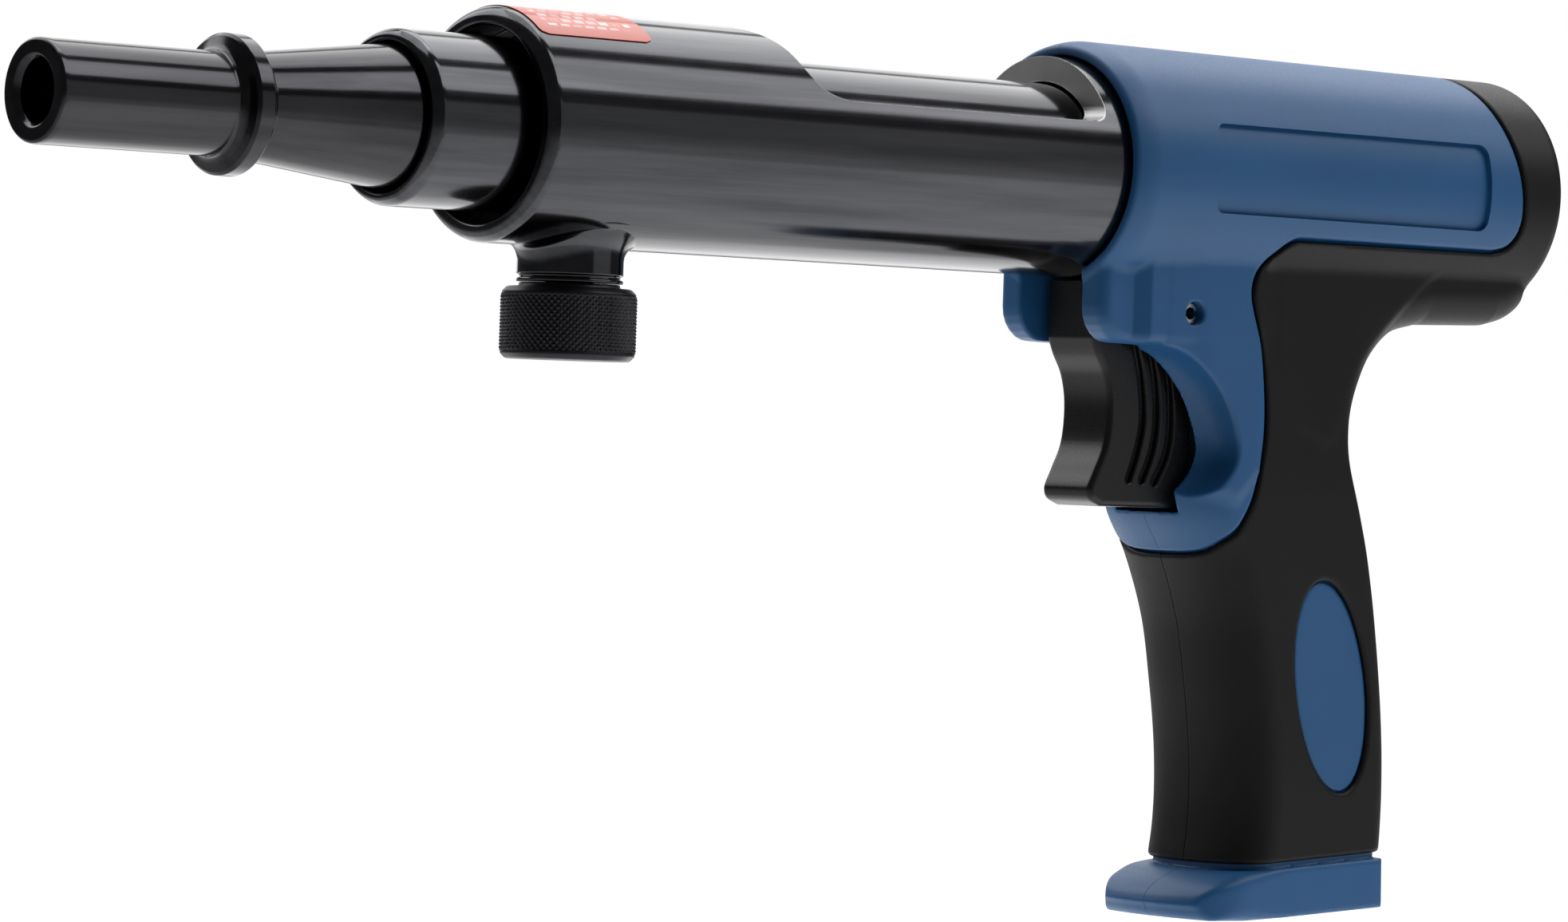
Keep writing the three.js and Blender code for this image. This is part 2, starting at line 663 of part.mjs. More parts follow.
function addPiece(name, finish, manifold) {
  const mesh = new THREE.Mesh(geometryOf(manifold), new THREE.MeshStandardMaterial(FINISH[finish]));
  mesh.name = name;
  tool.add(mesh);
}

addPiece('muzzle_guide', 'blackSteel', muzzleGuide());
addPiece('guide_retaining_ring', 'springSteel', retainingRing());
addPiece('barrel', 'blackSteel', barrel());
addPiece('buffer_ring_front', 'buffer', bufferRing(91.3));
addPiece('buffer_ring_rear', 'buffer', bufferRing(97.0));
addPiece('piston', 'brightSteel', piston());
PISTON_RINGS.forEach((station, i) => addPiece(`piston_ring_${i + 1}`, 'springSteel', pistonRing(station)));

addPiece('housing_tube', 'blackSteel', housingTube());
addPiece('stop_pin', 'brightSteel', stopPin());
addPiece('stop_knob', 'blackSteel', stopKnob());
addPiece('tube_label', 'red', label());

addPiece('barrel_spring', 'springSteel', coilSpring(221.4, 262.2, 13.4, 0.9, 6));
addPiece('breech_block', 'brightSteel', breechBlock());
addPiece('firing_pin', 'brightSteel', firingPin());
addPiece('firing_pin_spring', 'springSteel', coilSpring(300.3, 318, 4.3, 0.6, 6));
addPiece('sear', 'brightSteel', sear());
addPiece('sear_pin', 'brightSteel', crossRod(SEAR.pivot, SEAR.z, -15.4, 15.4, SEAR.pinRadius, 12));
addPiece('sear_spring', 'springSteel', searSpring());
addPiece('spring_seat', 'brightSteel', springSeat());
addPiece('rear_cap', 'black', rearCap());

addPiece('trigger', 'trigger', trigger());
addPiece('trigger_bar', 'brightSteel', triggerBar());
addPiece('trigger_spring', 'springSteel', triggerSpring());
addPiece('trigger_guide_pin', 'brightSteel',
  crossRod(ROLL_PIN.station, ROLL_PIN.z, -15.6, 15.6, ROLL_PIN.radius, SMALL_ROUND));
for (const screwPlace of SCREWS) {
  addPiece(`housing_screw_${SCREWS.indexOf(screwPlace) + 1}`, 'blackSteel', screw(screwPlace));
}

const { shells, skins } = shellsAndSkins();
addPiece('housing_shell_left', 'blue', half(shells, 1));
addPiece('housing_shell_right', 'blue', half(shells, -1));
addPiece('grip_skin_left', 'black', half(skins, 1));
addPiece('grip_skin_right', 'black', half(skins, -1));

export default tool;
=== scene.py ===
"""Looks of a hand-held fastening tool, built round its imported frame.

Shapes are worked out in millimetres in the tool's own terms: the station is the distance back from
the muzzle face along the barrel axis, y is to the tool's left, and z is the height above that axis.
"""

import json
import math

import bmesh
import bpy
import numpy as np
import openvdb
from mathutils import Matrix, Vector


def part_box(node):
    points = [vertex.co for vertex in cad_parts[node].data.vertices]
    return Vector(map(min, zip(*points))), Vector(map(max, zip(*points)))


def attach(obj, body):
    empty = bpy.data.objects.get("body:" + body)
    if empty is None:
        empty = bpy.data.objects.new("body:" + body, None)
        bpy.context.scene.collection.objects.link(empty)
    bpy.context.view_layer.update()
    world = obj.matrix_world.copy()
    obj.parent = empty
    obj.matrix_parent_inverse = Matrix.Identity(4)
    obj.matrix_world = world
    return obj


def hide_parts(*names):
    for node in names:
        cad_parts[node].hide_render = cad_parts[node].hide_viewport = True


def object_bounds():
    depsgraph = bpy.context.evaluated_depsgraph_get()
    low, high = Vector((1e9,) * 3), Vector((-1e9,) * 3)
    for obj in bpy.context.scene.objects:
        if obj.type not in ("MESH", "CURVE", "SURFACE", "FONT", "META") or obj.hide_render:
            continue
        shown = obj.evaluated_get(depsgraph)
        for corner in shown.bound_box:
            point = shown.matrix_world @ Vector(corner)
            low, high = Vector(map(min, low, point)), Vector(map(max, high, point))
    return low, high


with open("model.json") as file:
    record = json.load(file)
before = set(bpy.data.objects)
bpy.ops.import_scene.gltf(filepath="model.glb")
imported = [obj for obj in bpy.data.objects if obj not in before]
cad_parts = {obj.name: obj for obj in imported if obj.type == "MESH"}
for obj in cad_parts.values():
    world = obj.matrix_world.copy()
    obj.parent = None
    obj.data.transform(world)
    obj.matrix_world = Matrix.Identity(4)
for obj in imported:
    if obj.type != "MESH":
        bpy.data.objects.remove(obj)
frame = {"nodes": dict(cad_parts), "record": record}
CAD_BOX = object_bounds()

MM = 0.001
GUIDE_LOW, GUIDE_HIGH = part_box("muzzle_guide")
MUZZLE_X = GUIDE_HIGH.x
AXIS_Z = (GUIDE_LOW.z + GUIDE_HIGH.z) / 2


def place(station, y, z):
    """A point in the tool's terms, in millimetres, as a point in the frame, in metres."""
    return Vector((MUZZLE_X - station * MM, y * MM, AXIS_Z + z * MM))


# ---- Camera, floor and light ----

CAMERA_LENS, CAMERA_SENSOR = 145.4, 36
CAMERA_PLACE = (-568.0, 842.8, -51.9)
CAMERA_FORWARD = (-0.65409, -0.75641, -0.00296)
CAMERA_ROLL = math.radians(1.99)


def make_camera():
    """A long lens, ahead of the muzzle, on the tool's left and a little below the barrel axis."""
    data = bpy.data.cameras.new("camera")
    data.lens = CAMERA_LENS
    data.sensor_width = CAMERA_SENSOR
    camera = bpy.data.objects.new("camera", data)
    bpy.context.scene.collection.objects.link(camera)
    forward = Vector(CAMERA_FORWARD).normalized()
    level = forward.cross(Vector((0, 0, 1))).normalized()
    upright = level.cross(forward)
    right = level * math.cos(CAMERA_ROLL) + upright * math.sin(CAMERA_ROLL)
    up = right.cross(forward)
    turn = Matrix((right, up, -forward)).transposed().to_4x4()
    camera.matrix_world = Matrix.Translation(place(*CAMERA_PLACE)) @ turn
    bpy.context.scene.camera = camera


def softbox(name, centre, size, power, aim=(0, 0, 0)):
    """An oblong white light of a size and power, turned towards a point."""
    data = bpy.data.lights.new(name, "AREA")
    data.shape = "RECTANGLE"
    data.size, data.size_y = size
    data.energy = power
    light = bpy.data.objects.new(name, data)
    light.location = centre
    light.rotation_mode = "QUATERNION"
    light.rotation_quaternion = (Vector(aim) - Vector(centre)).to_track_quat("-Z", "Y")
    bpy.context.scene.collection.objects.link(light)


def make_world():
    """A pale background, with less light from it than it shows."""
    bpy.context.scene.view_settings.view_transform = "Standard"
    world = bpy.data.worlds.new("studio")
    bpy.context.scene.world = world
    world.use_nodes = True
    tree = world.node_tree
    tree.nodes.clear()
    output = tree.nodes.new("ShaderNodeOutputWorld")
    mix = tree.nodes.new("ShaderNodeMixShader")
    seen = node(tree, "ShaderNodeBackground", Color=(1, 1, 1, 1), Strength=1.0)
    cast = node(tree, "ShaderNodeBackground", Color=(0.95, 0.97, 1.0, 1), Strength=0.09)
    path = tree.nodes.new("ShaderNodeLightPath")
    tree.links.new(path.outputs["Is Camera Ray"], mix.inputs[0])
    tree.links.new(cast.outputs[0], mix.inputs[1])
    tree.links.new(seen.outputs[0], mix.inputs[2])
    tree.links.new(mix.outputs[0], output.inputs[0])


FLOOR_HALF, FLOOR_GAP = 12.0, 0.16


def make_floor():
    """A wide pale floor, below the tool and clear of it."""
    mesh = bpy.data.meshes.new("floor")
    height = CAD_BOX[0].z - FLOOR_GAP
    corners = [(FLOOR_HALF * x, FLOOR_HALF * y, height) for x, y in ((-1, -1), (1, -1), (1, 1), (-1, 1))]
    mesh.from_pydata(corners, [], [(0, 1, 2, 3)])
    floor = bpy.data.objects.new("floor", mesh)
    bpy.context.scene.collection.objects.link(floor)
    floor.data.materials.append(floor_material())


# ---- Materials ----

def new_material(name, **settings):
    """A principled material. Settings are its sockets' names, with _ for a space."""
    material = bpy.data.materials.new(name)
    material.use_nodes = True
    shader = material.node_tree.nodes["Principled BSDF"]
    for key, value in settings.items():
        socket = shader.inputs[key.replace("_", " ")]
        socket.default_value = (*value, 1.0) if isinstance(value, tuple) else value
    return material, material.node_tree, shader


def node(tree, kind, **sockets):
    """A node with some sockets set. Their names have _ for a space."""
    made = tree.nodes.new(kind)
    for key, value in sockets.items():
        made.inputs[key.replace("_", " ")].default_value = value
    return made


def coordinates(tree, stretch=(1, 1, 1)):
    """Places on the object, stretched along each axis, so that a pattern stays with its piece."""
    where = tree.nodes.new("ShaderNodeTexCoord")
    mapping = tree.nodes.new("ShaderNodeMapping")
    mapping.inputs["Scale"].default_value = stretch
    tree.links.new(where.outputs["Object"], mapping.inputs["Vector"])
    return mapping.outputs["Vector"]


def noise(tree, vector, scale, detail=3.0, rough=0.55):
    """Smooth noise from 0 to 1, with a number of waves to the metre."""
    made = node(tree, "ShaderNodeTexNoise", Scale=scale, Detail=detail, Roughness=rough)
    tree.links.new(vector, made.inputs["Vector"])
    return made.outputs["Fac"]


def spread(tree, value, from_low, from_high, to_low, to_high):
    """A value moved from one range to another, and held inside it."""
    made = node(tree, "ShaderNodeMapRange",
                From_Min=from_low, From_Max=from_high, To_Min=to_low, To_Max=to_high)
    tree.links.new(value, made.inputs["Value"])
    return made.outputs["Result"]


def ramp(tree, value, stops):
    """A colour from a value, through stops of (position, colour)."""
    made = tree.nodes.new("ShaderNodeValToRGB")
    elements = made.color_ramp.elements
    while len(elements) < len(stops):
        elements.new(0.5)
    for element, (position, colour) in zip(elements, stops):
        element.position = position
        element.color = (*colour, 1)
    tree.links.new(value, made.inputs["Fac"])
    return made.outputs["Color"]


def bump(tree, shader, height, strength, distance):
    """Fine relief on a shader, from a height of 0 to 1 and its depth in metres."""
    made = node(tree, "ShaderNodeBump", Strength=strength, Distance=distance)
    tree.links.new(height, made.inputs["Height"])
    tree.links.new(made.outputs["Normal"], shader.inputs["Normal"])


def fill(tree, socket, value):
    """Gives a socket its value, which is another node's socket, a colour or a plain number."""
    if isinstance(value, bpy.types.NodeSocket):
        tree.links.new(value, socket)
    elif isinstance(value, tuple):
        socket.default_value = (*value, 1)
    else:
        socket.default_value = value


def arithmetic(tree, operation, *values):
    """The result of a math node on sockets or plain numbers."""
    made = tree.nodes.new("ShaderNodeMath")
    made.operation = operation
    for socket, value in zip(made.inputs, values):
        fill(tree, socket, value)
    return made.outputs[0]


def mixed(tree, kind, factor, first, second):
    """A mix of two colours (kind RGBA) or two numbers (kind FLOAT), by a factor from 0 to 1."""
    made = tree.nodes.new("ShaderNodeMix")
    made.data_type = kind
    for key, value in (("Factor", factor), ("A", first), ("B", second)):
        fill(tree, made.inputs[key], value)
    return made.outputs["Result"]


# Width of the mask for brightened edges: partly wear, partly a painted highlight line along hard edges.
EDGE_WEAR_AND_HIGHLIGHT_WIDTH = 0.0004


def edge_wear_and_highlight(tree):
    """1 on sharp edges, broken up by noise, and 0 elsewhere: where edges are brightened, partly for wear and
    partly as a painted highlight line.
    """
    rounded = node(tree, "ShaderNodeBevel", Radius=EDGE_WEAR_AND_HIGHLIGHT_WIDTH)
    rounded.samples = 4
    geometry = tree.nodes.new("ShaderNodeNewGeometry")
    compare = tree.nodes.new("ShaderNodeVectorMath")
    compare.operation = "DOT_PRODUCT"
    tree.links.new(rounded.outputs["Normal"], compare.inputs[0])
    tree.links.new(geometry.outputs["Normal"], compare.inputs[1])
    turned_away = spread(tree, compare.outputs["Value"], 0.97, 0.8, 0.0, 1.0)
    patchy = spread(tree, noise(tree, coordinates(tree), 900.0), 0.4, 0.55, 0.25, 1.0)
    return arithmetic(tree, "MULTIPLY", turned_away, patchy)


# The floor's glow, in metres in the frame: a round pool whose middle is behind the tool, brighter to
# the tool's right, with a dark strip in it.
POOL_CENTRE, POOL_RADIUS, POOL_FADE = (-0.55, 0, 0), 0.87, 0.03
POOL_GLOW, FAR_GLOW, FAR_SIDE_GAIN = 0.5, 0.04, 1.7
STRIP_NEAR, STRIP_FAR, STRIP_EDGE = -0.105, -0.165, 0.005
STRIP_REAR, STRIP_FADE = -0.13, 0.04
FAR_SIDE, FAR_SIDE_FADE = -0.17, 0.02


def floor_material():
    """Pale all over. What it casts on the tool is bright in the pool, and dim further off."""
    material, tree, shader = new_material("pale_floor", Roughness=0.7)
    tone = ramp(tree, noise(tree, coordinates(tree), 3.0), [(0.3, (0.7,) * 3), (0.7, (0.74,) * 3)])
    tree.links.new(tone, shader.inputs["Base Color"])
    where = tree.nodes.new("ShaderNodeTexCoord").outputs["Object"]
    distance = tree.nodes.new("ShaderNodeVectorMath")
    distance.operation = "DISTANCE"
    distance.inputs[1].default_value = POOL_CENTRE
    tree.links.new(where, distance.inputs[0])
    parts = tree.nodes.new("ShaderNodeSeparateXYZ")
    tree.links.new(where, parts.inputs[0])
    x, y = parts.outputs["X"], parts.outputs["Y"]
    pool = spread(
        tree, distance.outputs["Value"], POOL_RADIUS, POOL_RADIUS + POOL_FADE, POOL_GLOW, FAR_GLOW)
    far_side = spread(tree, y, FAR_SIDE - FAR_SIDE_FADE, FAR_SIDE, FAR_SIDE_GAIN, 1.0)
    nearer = spread(tree, y, STRIP_NEAR, STRIP_NEAR + STRIP_EDGE, 0.0, 1.0)
    further = spread(tree, y, STRIP_FAR - STRIP_EDGE, STRIP_FAR, 1.0, 0.0)
    behind = spread(tree, x, STRIP_REAR - STRIP_FADE, STRIP_REAR, 0.0, 1.0)
    lit = arithmetic(tree, "MAXIMUM", arithmetic(tree, "ADD", nearer, further), behind)
    glow = arithmetic(tree, "MULTIPLY", arithmetic(tree, "MULTIPLY", pool, far_side), lit)
    path = tree.nodes.new("ShaderNodeLightPath")
    shader.inputs["Emission Color"].default_value = (1, 1, 1, 1)
    strength = mixed(tree, "FLOAT", path.outputs["Is Camera Ray"], glow, 1.0)
    tree.links.new(strength, shader.inputs["Emission Strength"])
    return material


# How finely marks repeat along x, y and z: rings round the barrel axis when turned, or lines along it.
TURNED = (1, 0.012, 0.012)
DRAWN = (0.006, 1, 1)


def steel_material(name, dark, light, roughness, wear_and_highlight_amount=0.5, marks=TURNED):
    """Steel with fine turned or drawn marks, a cloudy oxide and brighter edges, partly worn and partly a
    painted highlight.
    """
    material, tree, shader = new_material(name, Metallic=1.0)
    along = tuple(min(1.0, 8 * step) for step in marks)
    cloud = noise(tree, coordinates(tree, along), 160.0, 5.0, 0.65)
    base = ramp(tree, cloud, [(0.35, dark), (0.65, light)])
    # Brighter colour on sharp edges: partly wear, partly a painted highlight line.
    worn_and_highlit = tuple(min(1.0, 2.6 * c + 0.05) for c in light)
    worn_and_highlit_share = spread(tree, edge_wear_and_highlight(tree), 0.0, 1.0, 0.0, wear_and_highlight_amount)
    tree.links.new(mixed(tree, "RGBA", worn_and_highlit_share, base, worn_and_highlit), shader.inputs["Base Color"])
    lines = noise(tree, coordinates(tree, marks), 2600.0, 2.0, 0.7)
    patches = noise(tree, coordinates(tree), 140.0, 3.0)
    uneven = arithmetic(tree, "MULTIPLY_ADD", patches, 0.6, lines)
    dulled = spread(tree, uneven, 0.4, 1.2, roughness * 0.8, roughness * 1.25)
    tree.links.new(dulled, shader.inputs["Roughness"])
    bump(tree, shader, lines, 0.12, 0.00002)
    return material


def moulded_material(name, dark, light, roughness, grain, strength, specular):
    """Moulded plastic or soft rubber: a spark-eroded grain, faint colour drift and brighter edges, partly
    scuffed and partly a painted highlight.
    """
    material, tree, shader = new_material(name, IOR=1.5, Specular_IOR_Level=specular)
    drift = noise(tree, coordinates(tree), 30.0, 4.0)
    base = ramp(tree, drift, [(0.3, dark), (0.7, light)])
    # Brighter colour on sharp edges: partly scuffs, partly a painted highlight line.
    scuffed_and_highlit = tuple(min(1.0, 1.35 * c + 0.012) for c in light)
    scuffed_and_highlit_share = spread(tree, edge_wear_and_highlight(tree), 0.0, 1.0, 0.0, 0.6)
    tree.links.new(mixed(tree, "RGBA", scuffed_and_highlit_share, base, scuffed_and_highlit), shader.inputs["Base Color"])
    fine = noise(tree, coordinates(tree), grain, 4.0, 0.65)
    dulled = spread(tree, fine, 0.35, 0.65, roughness * 0.88, roughness * 1.12)
    tree.links.new(dulled, shader.inputs["Roughness"])
    bump(tree, shader, fine, strength, 0.00006)
    return material


LABEL_RED, LABEL_PALE = (0.68, 0.09, 0.05), (0.86, 0.78, 0.74)


def label_material():
    """Plain red film with rows of broken pale bars, which stand for print and say nothing."""
    material, tree, shader = new_material("red_label", Roughness=0.42, Coat_Weight=0.25)
    where = tree.nodes.new("ShaderNodeUVMap").outputs["UV"]
    bars = node(tree, "ShaderNodeTexBrick", Scale=1.0, Mortar_Size=0.016, Brick_Width=0.11, Row_Height=0.075)
    tree.links.new(where, bars.inputs["Vector"])
    for key, colour in (("Color1", LABEL_PALE), ("Color2", LABEL_RED), ("Mortar", LABEL_RED)):
        fill(tree, bars.inputs[key], colour)
    parts = tree.nodes.new("ShaderNodeSeparateXYZ")
    tree.links.new(where, parts.inputs[0])
    from_edges = [arithmetic(tree, "PINGPONG", parts.outputs[axis], 0.5) for axis in "XY"]
    margins = [spread(tree, distance, 0.1, 0.11, 0.0, 1.0) for distance in from_edges]
    inside = arithmetic(tree, "MULTIPLY", *margins)
    colour = mixed(tree, "RGBA", inside, LABEL_RED, bars.outputs["Color"])
    tree.links.new(colour, shader.inputs["Base Color"])
    bump(tree, shader, noise(tree, coordinates(tree), 700.0), 0.08, 0.00004)
    return material


# Dark colour, light colour, roughness, then the brightening of edges (partly wear, partly painted highlight)
# and marks where they differ from the usual.
STEELS = {
    "black_steel": ((0.052, 0.053, 0.057), (0.09, 0.091, 0.098), 0.13, 0.5, DRAWN),
    "nose_steel": ((0.033, 0.033, 0.036), (0.058, 0.058, 0.063), 0.14, 0.5, DRAWN),
    "machined_steel": ((0.34, 0.34, 0.34), (0.46, 0.46, 0.46), 0.42, 1.0),
    "knurled_steel": ((0.028, 0.028, 0.031), (0.042, 0.042, 0.046), 0.4, 0.2),
    "bright_steel": ((0.42, 0.43, 0.45), (0.55, 0.56, 0.58), 0.24),
    "spring_steel": ((0.26, 0.27, 0.29), (0.36, 0.37, 0.39), 0.3),
}

# Dark colour, light colour, roughness, the grain's fineness and strength, and the specular level.
MOULDED = {
    "blue_plastic": ((0.0125, 0.084, 0.22), (0.0145, 0.097, 0.25), 0.46, 2600.0, 0.22, 0.4),
    "soft_black": ((0.0052, 0.0052, 0.0055), (0.0075, 0.0075, 0.008), 0.46, 3200.0, 0.25, 0.2),
    "trigger_black": ((0.006, 0.0062, 0.007), (0.009, 0.0093, 0.0105), 0.3, 2200.0, 0.08, 0.36),
    "cap_black": ((0.008, 0.008, 0.009), (0.012, 0.012, 0.013), 0.5, 2600.0, 0.25, 0.35),
    "buffer_rubber": ((0.02, 0.02, 0.02), (0.03, 0.03, 0.03), 0.7, 1500.0, 0.3, 0.5),
}


def make_materials():
    """Every material, by the name of its slot or look."""
    made = {name: steel_material(name, *values) for name, values in STEELS.items()}
    made.update({name: moulded_material(name, *values) for name, values in MOULDED.items()})
    made["red_label"] = label_material()
    return made


# ---- Mesh tools ----

SHARP = math.radians(34)      # edges of turned and cut pieces
CREASED = math.radians(55)    # edges of pieces with fine relief or a fine surface mesh


def finish_mesh(name, mesh, body, slot_name, replaced=(), sharp=SHARP, look=None):
    """Links a mesh as a piece of the tool, with its material, body and the CAD nodes that it stands for.

    A piece made of plain turned or cut faces is shaded by its larger ones, so that flats look flat.
    """
    mesh.update()
    for polygon in mesh.polygons:
        polygon.use_smooth = True
    if sharp is not None:
        mesh.set_sharp_from_angle(angle=sharp)
    piece = bpy.data.objects.new(name, mesh)
    bpy.context.scene.collection.objects.link(piece)
    mesh.materials.clear()
    mesh.materials.append(MATERIALS[look or slot_name])
    if sharp == SHARP:
        shading = piece.modifiers.new("shading", "WEIGHTED_NORMAL")
        shading.keep_sharp = True
    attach(piece, body)
    if replaced:
        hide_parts(*replaced)


def mesh_from(name, points, faces):
    """A mesh from points in the tool's terms (station, y, z in millimetres) and faces."""
    placed = np.array(points, float)
    placed = np.column_stack((
        MUZZLE_X - placed[:, 0] * MM, placed[:, 1] * MM, AXIS_Z + placed[:, 2] * MM))
    mesh = bpy.data.meshes.new(name)
    mesh.from_pydata(placed.tolist(), [], [[int(i) for i in face] for face in faces])
    work = bmesh.new()
    work.from_mesh(mesh)
    bmesh.ops.recalc_face_normals(work, faces=work.faces)
    work.to_mesh(mesh)
    work.free()
    return mesh


def bend(start, corner, end, t):
    """A place on the curve that leaves start and reaches end, each in line with the corner."""
    return (1 - t) ** 2 * start + 2 * t * (1 - t) * corner + t * t * end


def eased(corners, steps=4):
    """The outline through the corners (a, b, radius), each rounded by its own radius."""
    points = []
    count = len(corners)
    for i, (a, b, radius) in enumerate(corners):
        here = np.array((a, b), float)
        if radius <= 0 or i in (0, count - 1):
            points.append(here)
            continue
        before = np.array(corners[i - 1][:2], float) - here
        after = np.array(corners[i + 1][:2], float) - here
        reach = min(radius, 0.48 * np.hypot(*before), 0.48 * np.hypot(*after))
        start = here + before / np.hypot(*before) * reach
        end = here + after / np.hypot(*after) * reach
        points += [bend(start, here, end, k / steps) for k in range(steps + 1)]
    return points


def turned_faces(rings, sides, closed):
    """Faces of a turned surface. A ring is a list of sides indices, or a single index on the axis."""
    faces = []
    pairs = list(zip(rings, rings[1:]))
    if closed:
        pairs.append((rings[-1], rings[0]))
    for first, second in pairs:
        for i in range(sides):
            j = (i + 1) % sides
            if len(first) == 1:
                faces.append((first[0], second[i], second[j]))
            elif len(second) == 1:
                faces.append((first[i], second[0], first[j]))
            else:
                faces.append((first[i], second[i], second[j], first[j]))
    return faces


def lathe(name, rows, sides, where, offset=0.0, closed=False):
    """A mesh of rows round an axis. A row holds (radius, along) for each side; where(radius, along, angle)
    gives the point. A row whose radius is nothing is one point, on the axis.
    """
    points, rings = [], []
    for row in rows:
        count = 1 if row[0][0] < 1e-6 else sides
        rings.append(list(range(len(points), len(points) + count)))
        for i, (radius, along) in enumerate(row[:count]):
            points.append(where(radius, along, 2 * math.pi * (i + offset) / sides))
    return mesh_from(name, points, turned_faces(rings, sides, closed))


def turned(name, profile, sides=128, upright_at=None, closed=False):
    """A mesh turned from (station, radius) points, or from (radius, z) points round an upright axis."""
    def level(radius, along, angle):
        return along, radius * math.cos(angle), radius * math.sin(angle)

    def upright(radius, along, angle):
        return upright_at + radius * math.cos(angle), radius * math.sin(angle), along

    if upright_at is None:
        return lathe(name, [[(r, s)] * sides for s, r in profile], sides, level, 0.5, closed)
    return lathe(name, [[corner] * sides for corner in profile], sides, upright, 0.5, closed)


def ring_profile(corners, steps=4):
    """A closed profile, for a piece with a bore: every corner is eased, the first and last as well."""
    wrapped = [corners[-1], *corners, corners[0]]
    points = []
    for i in range(1, len(wrapped) - 1):
        points.extend(eased([wrapped[i - 1], wrapped[i], wrapped[i + 1]], steps)[1:-1])
    return points


def prism(name, outline, low_y, high_y):
    """An outline of (station, z) points given thickness from low_y to high_y."""
    count = len(outline)
    points = [(s, low_y, z) for s, z in outline] + [(s, high_y, z) for s, z in outline]
    faces = [tuple(range(count)), tuple(range(2 * count - 1, count - 1, -1))]
    for i in range(count):
        j = (i + 1) % count
        faces.append((i, j, count + j, count + i))
    return mesh_from(name, points, faces)


def cut(mesh, cutter, operation="DIFFERENCE"):
    """The mesh cut by, or joined to, another."""
    pair = [bpy.data.objects.new("cut_" + m.name, m) for m in (mesh, cutter)]
    for item in pair:
        bpy.context.scene.collection.objects.link(item)
    modifier = pair[0].modifiers.new("cut", "BOOLEAN")
    modifier.operation = operation
    modifier.solver = "EXACT"
    modifier.object = pair[1]
    bpy.context.view_layer.update()
    evaluated = pair[0].evaluated_get(bpy.context.evaluated_depsgraph_get())
    result = bpy.data.meshes.new_from_object(evaluated)
    result.name = mesh.name
    for item in pair:
        bpy.data.objects.remove(item)
    return result


# ---- Fields: signed distances, negative inside ----

def blended(a, b, width):
    """The union of two fields, with a fillet of that width."""
    h = np.maximum(width - np.abs(a - b), 0) / width
    return np.minimum(a, b) - h * h * width / 4


def trimmed(a, b, width):
    """What two fields share, with the edge eased by that width."""
    return -blended(-a, -b, width)


def carved(a, tool, width):
    """A field with a tool's field cut out of it."""
    return trimmed(a, -tool, width)


def extruded(flat, y, half, round_edge):
    """A flat side field given thickness, with rounded edges."""
    a = flat + round_edge
    b = np.abs(y) - half + round_edge
    outside = np.hypot(np.maximum(a, 0), np.maximum(b, 0))
    return np.minimum(np.maximum(a, b), 0) + outside - round_edge


def squared_distance(s, z, start, end):
    """Squared distance to a straight line between two points in side view."""
    ds, dz = end[0] - start[0], end[1] - start[1]
    t = np.clip(((s - start[0]) * ds + (z - start[1]) * dz) / (ds * ds + dz * dz), 0, 1)
    return (s - start[0] - t * ds) ** 2 + (z - start[1] - t * dz) ** 2


def outline_field(outline, s, z):
    """Signed distance to a closed side outline of (station, z) points."""
    s, z = np.broadcast_arrays(np.asarray(s, np.float32), np.asarray(z, np.float32))
    nearest = np.full(s.shape, 1e9, np.float32)
    inside = np.zeros(s.shape, bool)
    points = [np.asarray(p, float) for p in outline]
    for start, end in zip(points, points[1:] + points[:1]):
        (s0, z0), (s1, z1) = start, end
        if math.dist(start, end) < 3e-5:
            continue
        nearest = np.minimum(nearest, squared_distance(s, z, start, end))
        if z1 != z0:
            inside ^= ((z0 > z) != (z1 > z)) & (s < (z - z0) * (s1 - s0) / (z1 - z0) + s0)
    return np.where(inside, -1.0, 1.0).astype(np.float32) * np.sqrt(nearest)


def curve_through(points, steps=8):
    """Points on a smooth open curve through the given ones."""
    points = np.array(points, float)
    ends = np.vstack((2 * points[0] - points[1], points, 2 * points[-1] - points[-2]))
    result = []
    for i in range(1, len(ends) - 2):
        p0, p1, p2, p3 = ends[i - 1:i + 3]
        for k in range(steps):
            t = k / steps
            result.append(0.5 * (2 * p1 + (p2 - p0) * t + (2 * p0 - 5 * p1 + 4 * p2 - p3) * t ** 2
                                 + (3 * p1 - p0 - 3 * p2 + p3) * t ** 3))
    result.append(points[-1])
    return result


def arc(centre, radius, start, end, steps=6):
    """Points on an arc in side view, from one angle to another, in degrees."""
    angles = np.radians(np.linspace(start, end, steps + 1))
    return [(centre[0] + radius * math.cos(a), centre[1] + radius * math.sin(a)) for a in angles]


def oval_field(s, z, centre, along, across, lean):
    """An upright oval in side view, leaning by an angle."""
    c, n = math.cos(lean), math.sin(lean)
    u = ((s - centre[0]) * n + (z - centre[1]) * c) / along
    v = ((s - centre[0]) * c - (z - centre[1]) * n) / across
    size = np.sqrt(u * u + v * v) + 1e-6
    slope = np.sqrt((u / along) ** 2 + (v / across) ** 2) / size
    return (size - 1) / np.maximum(slope, 1e-3)


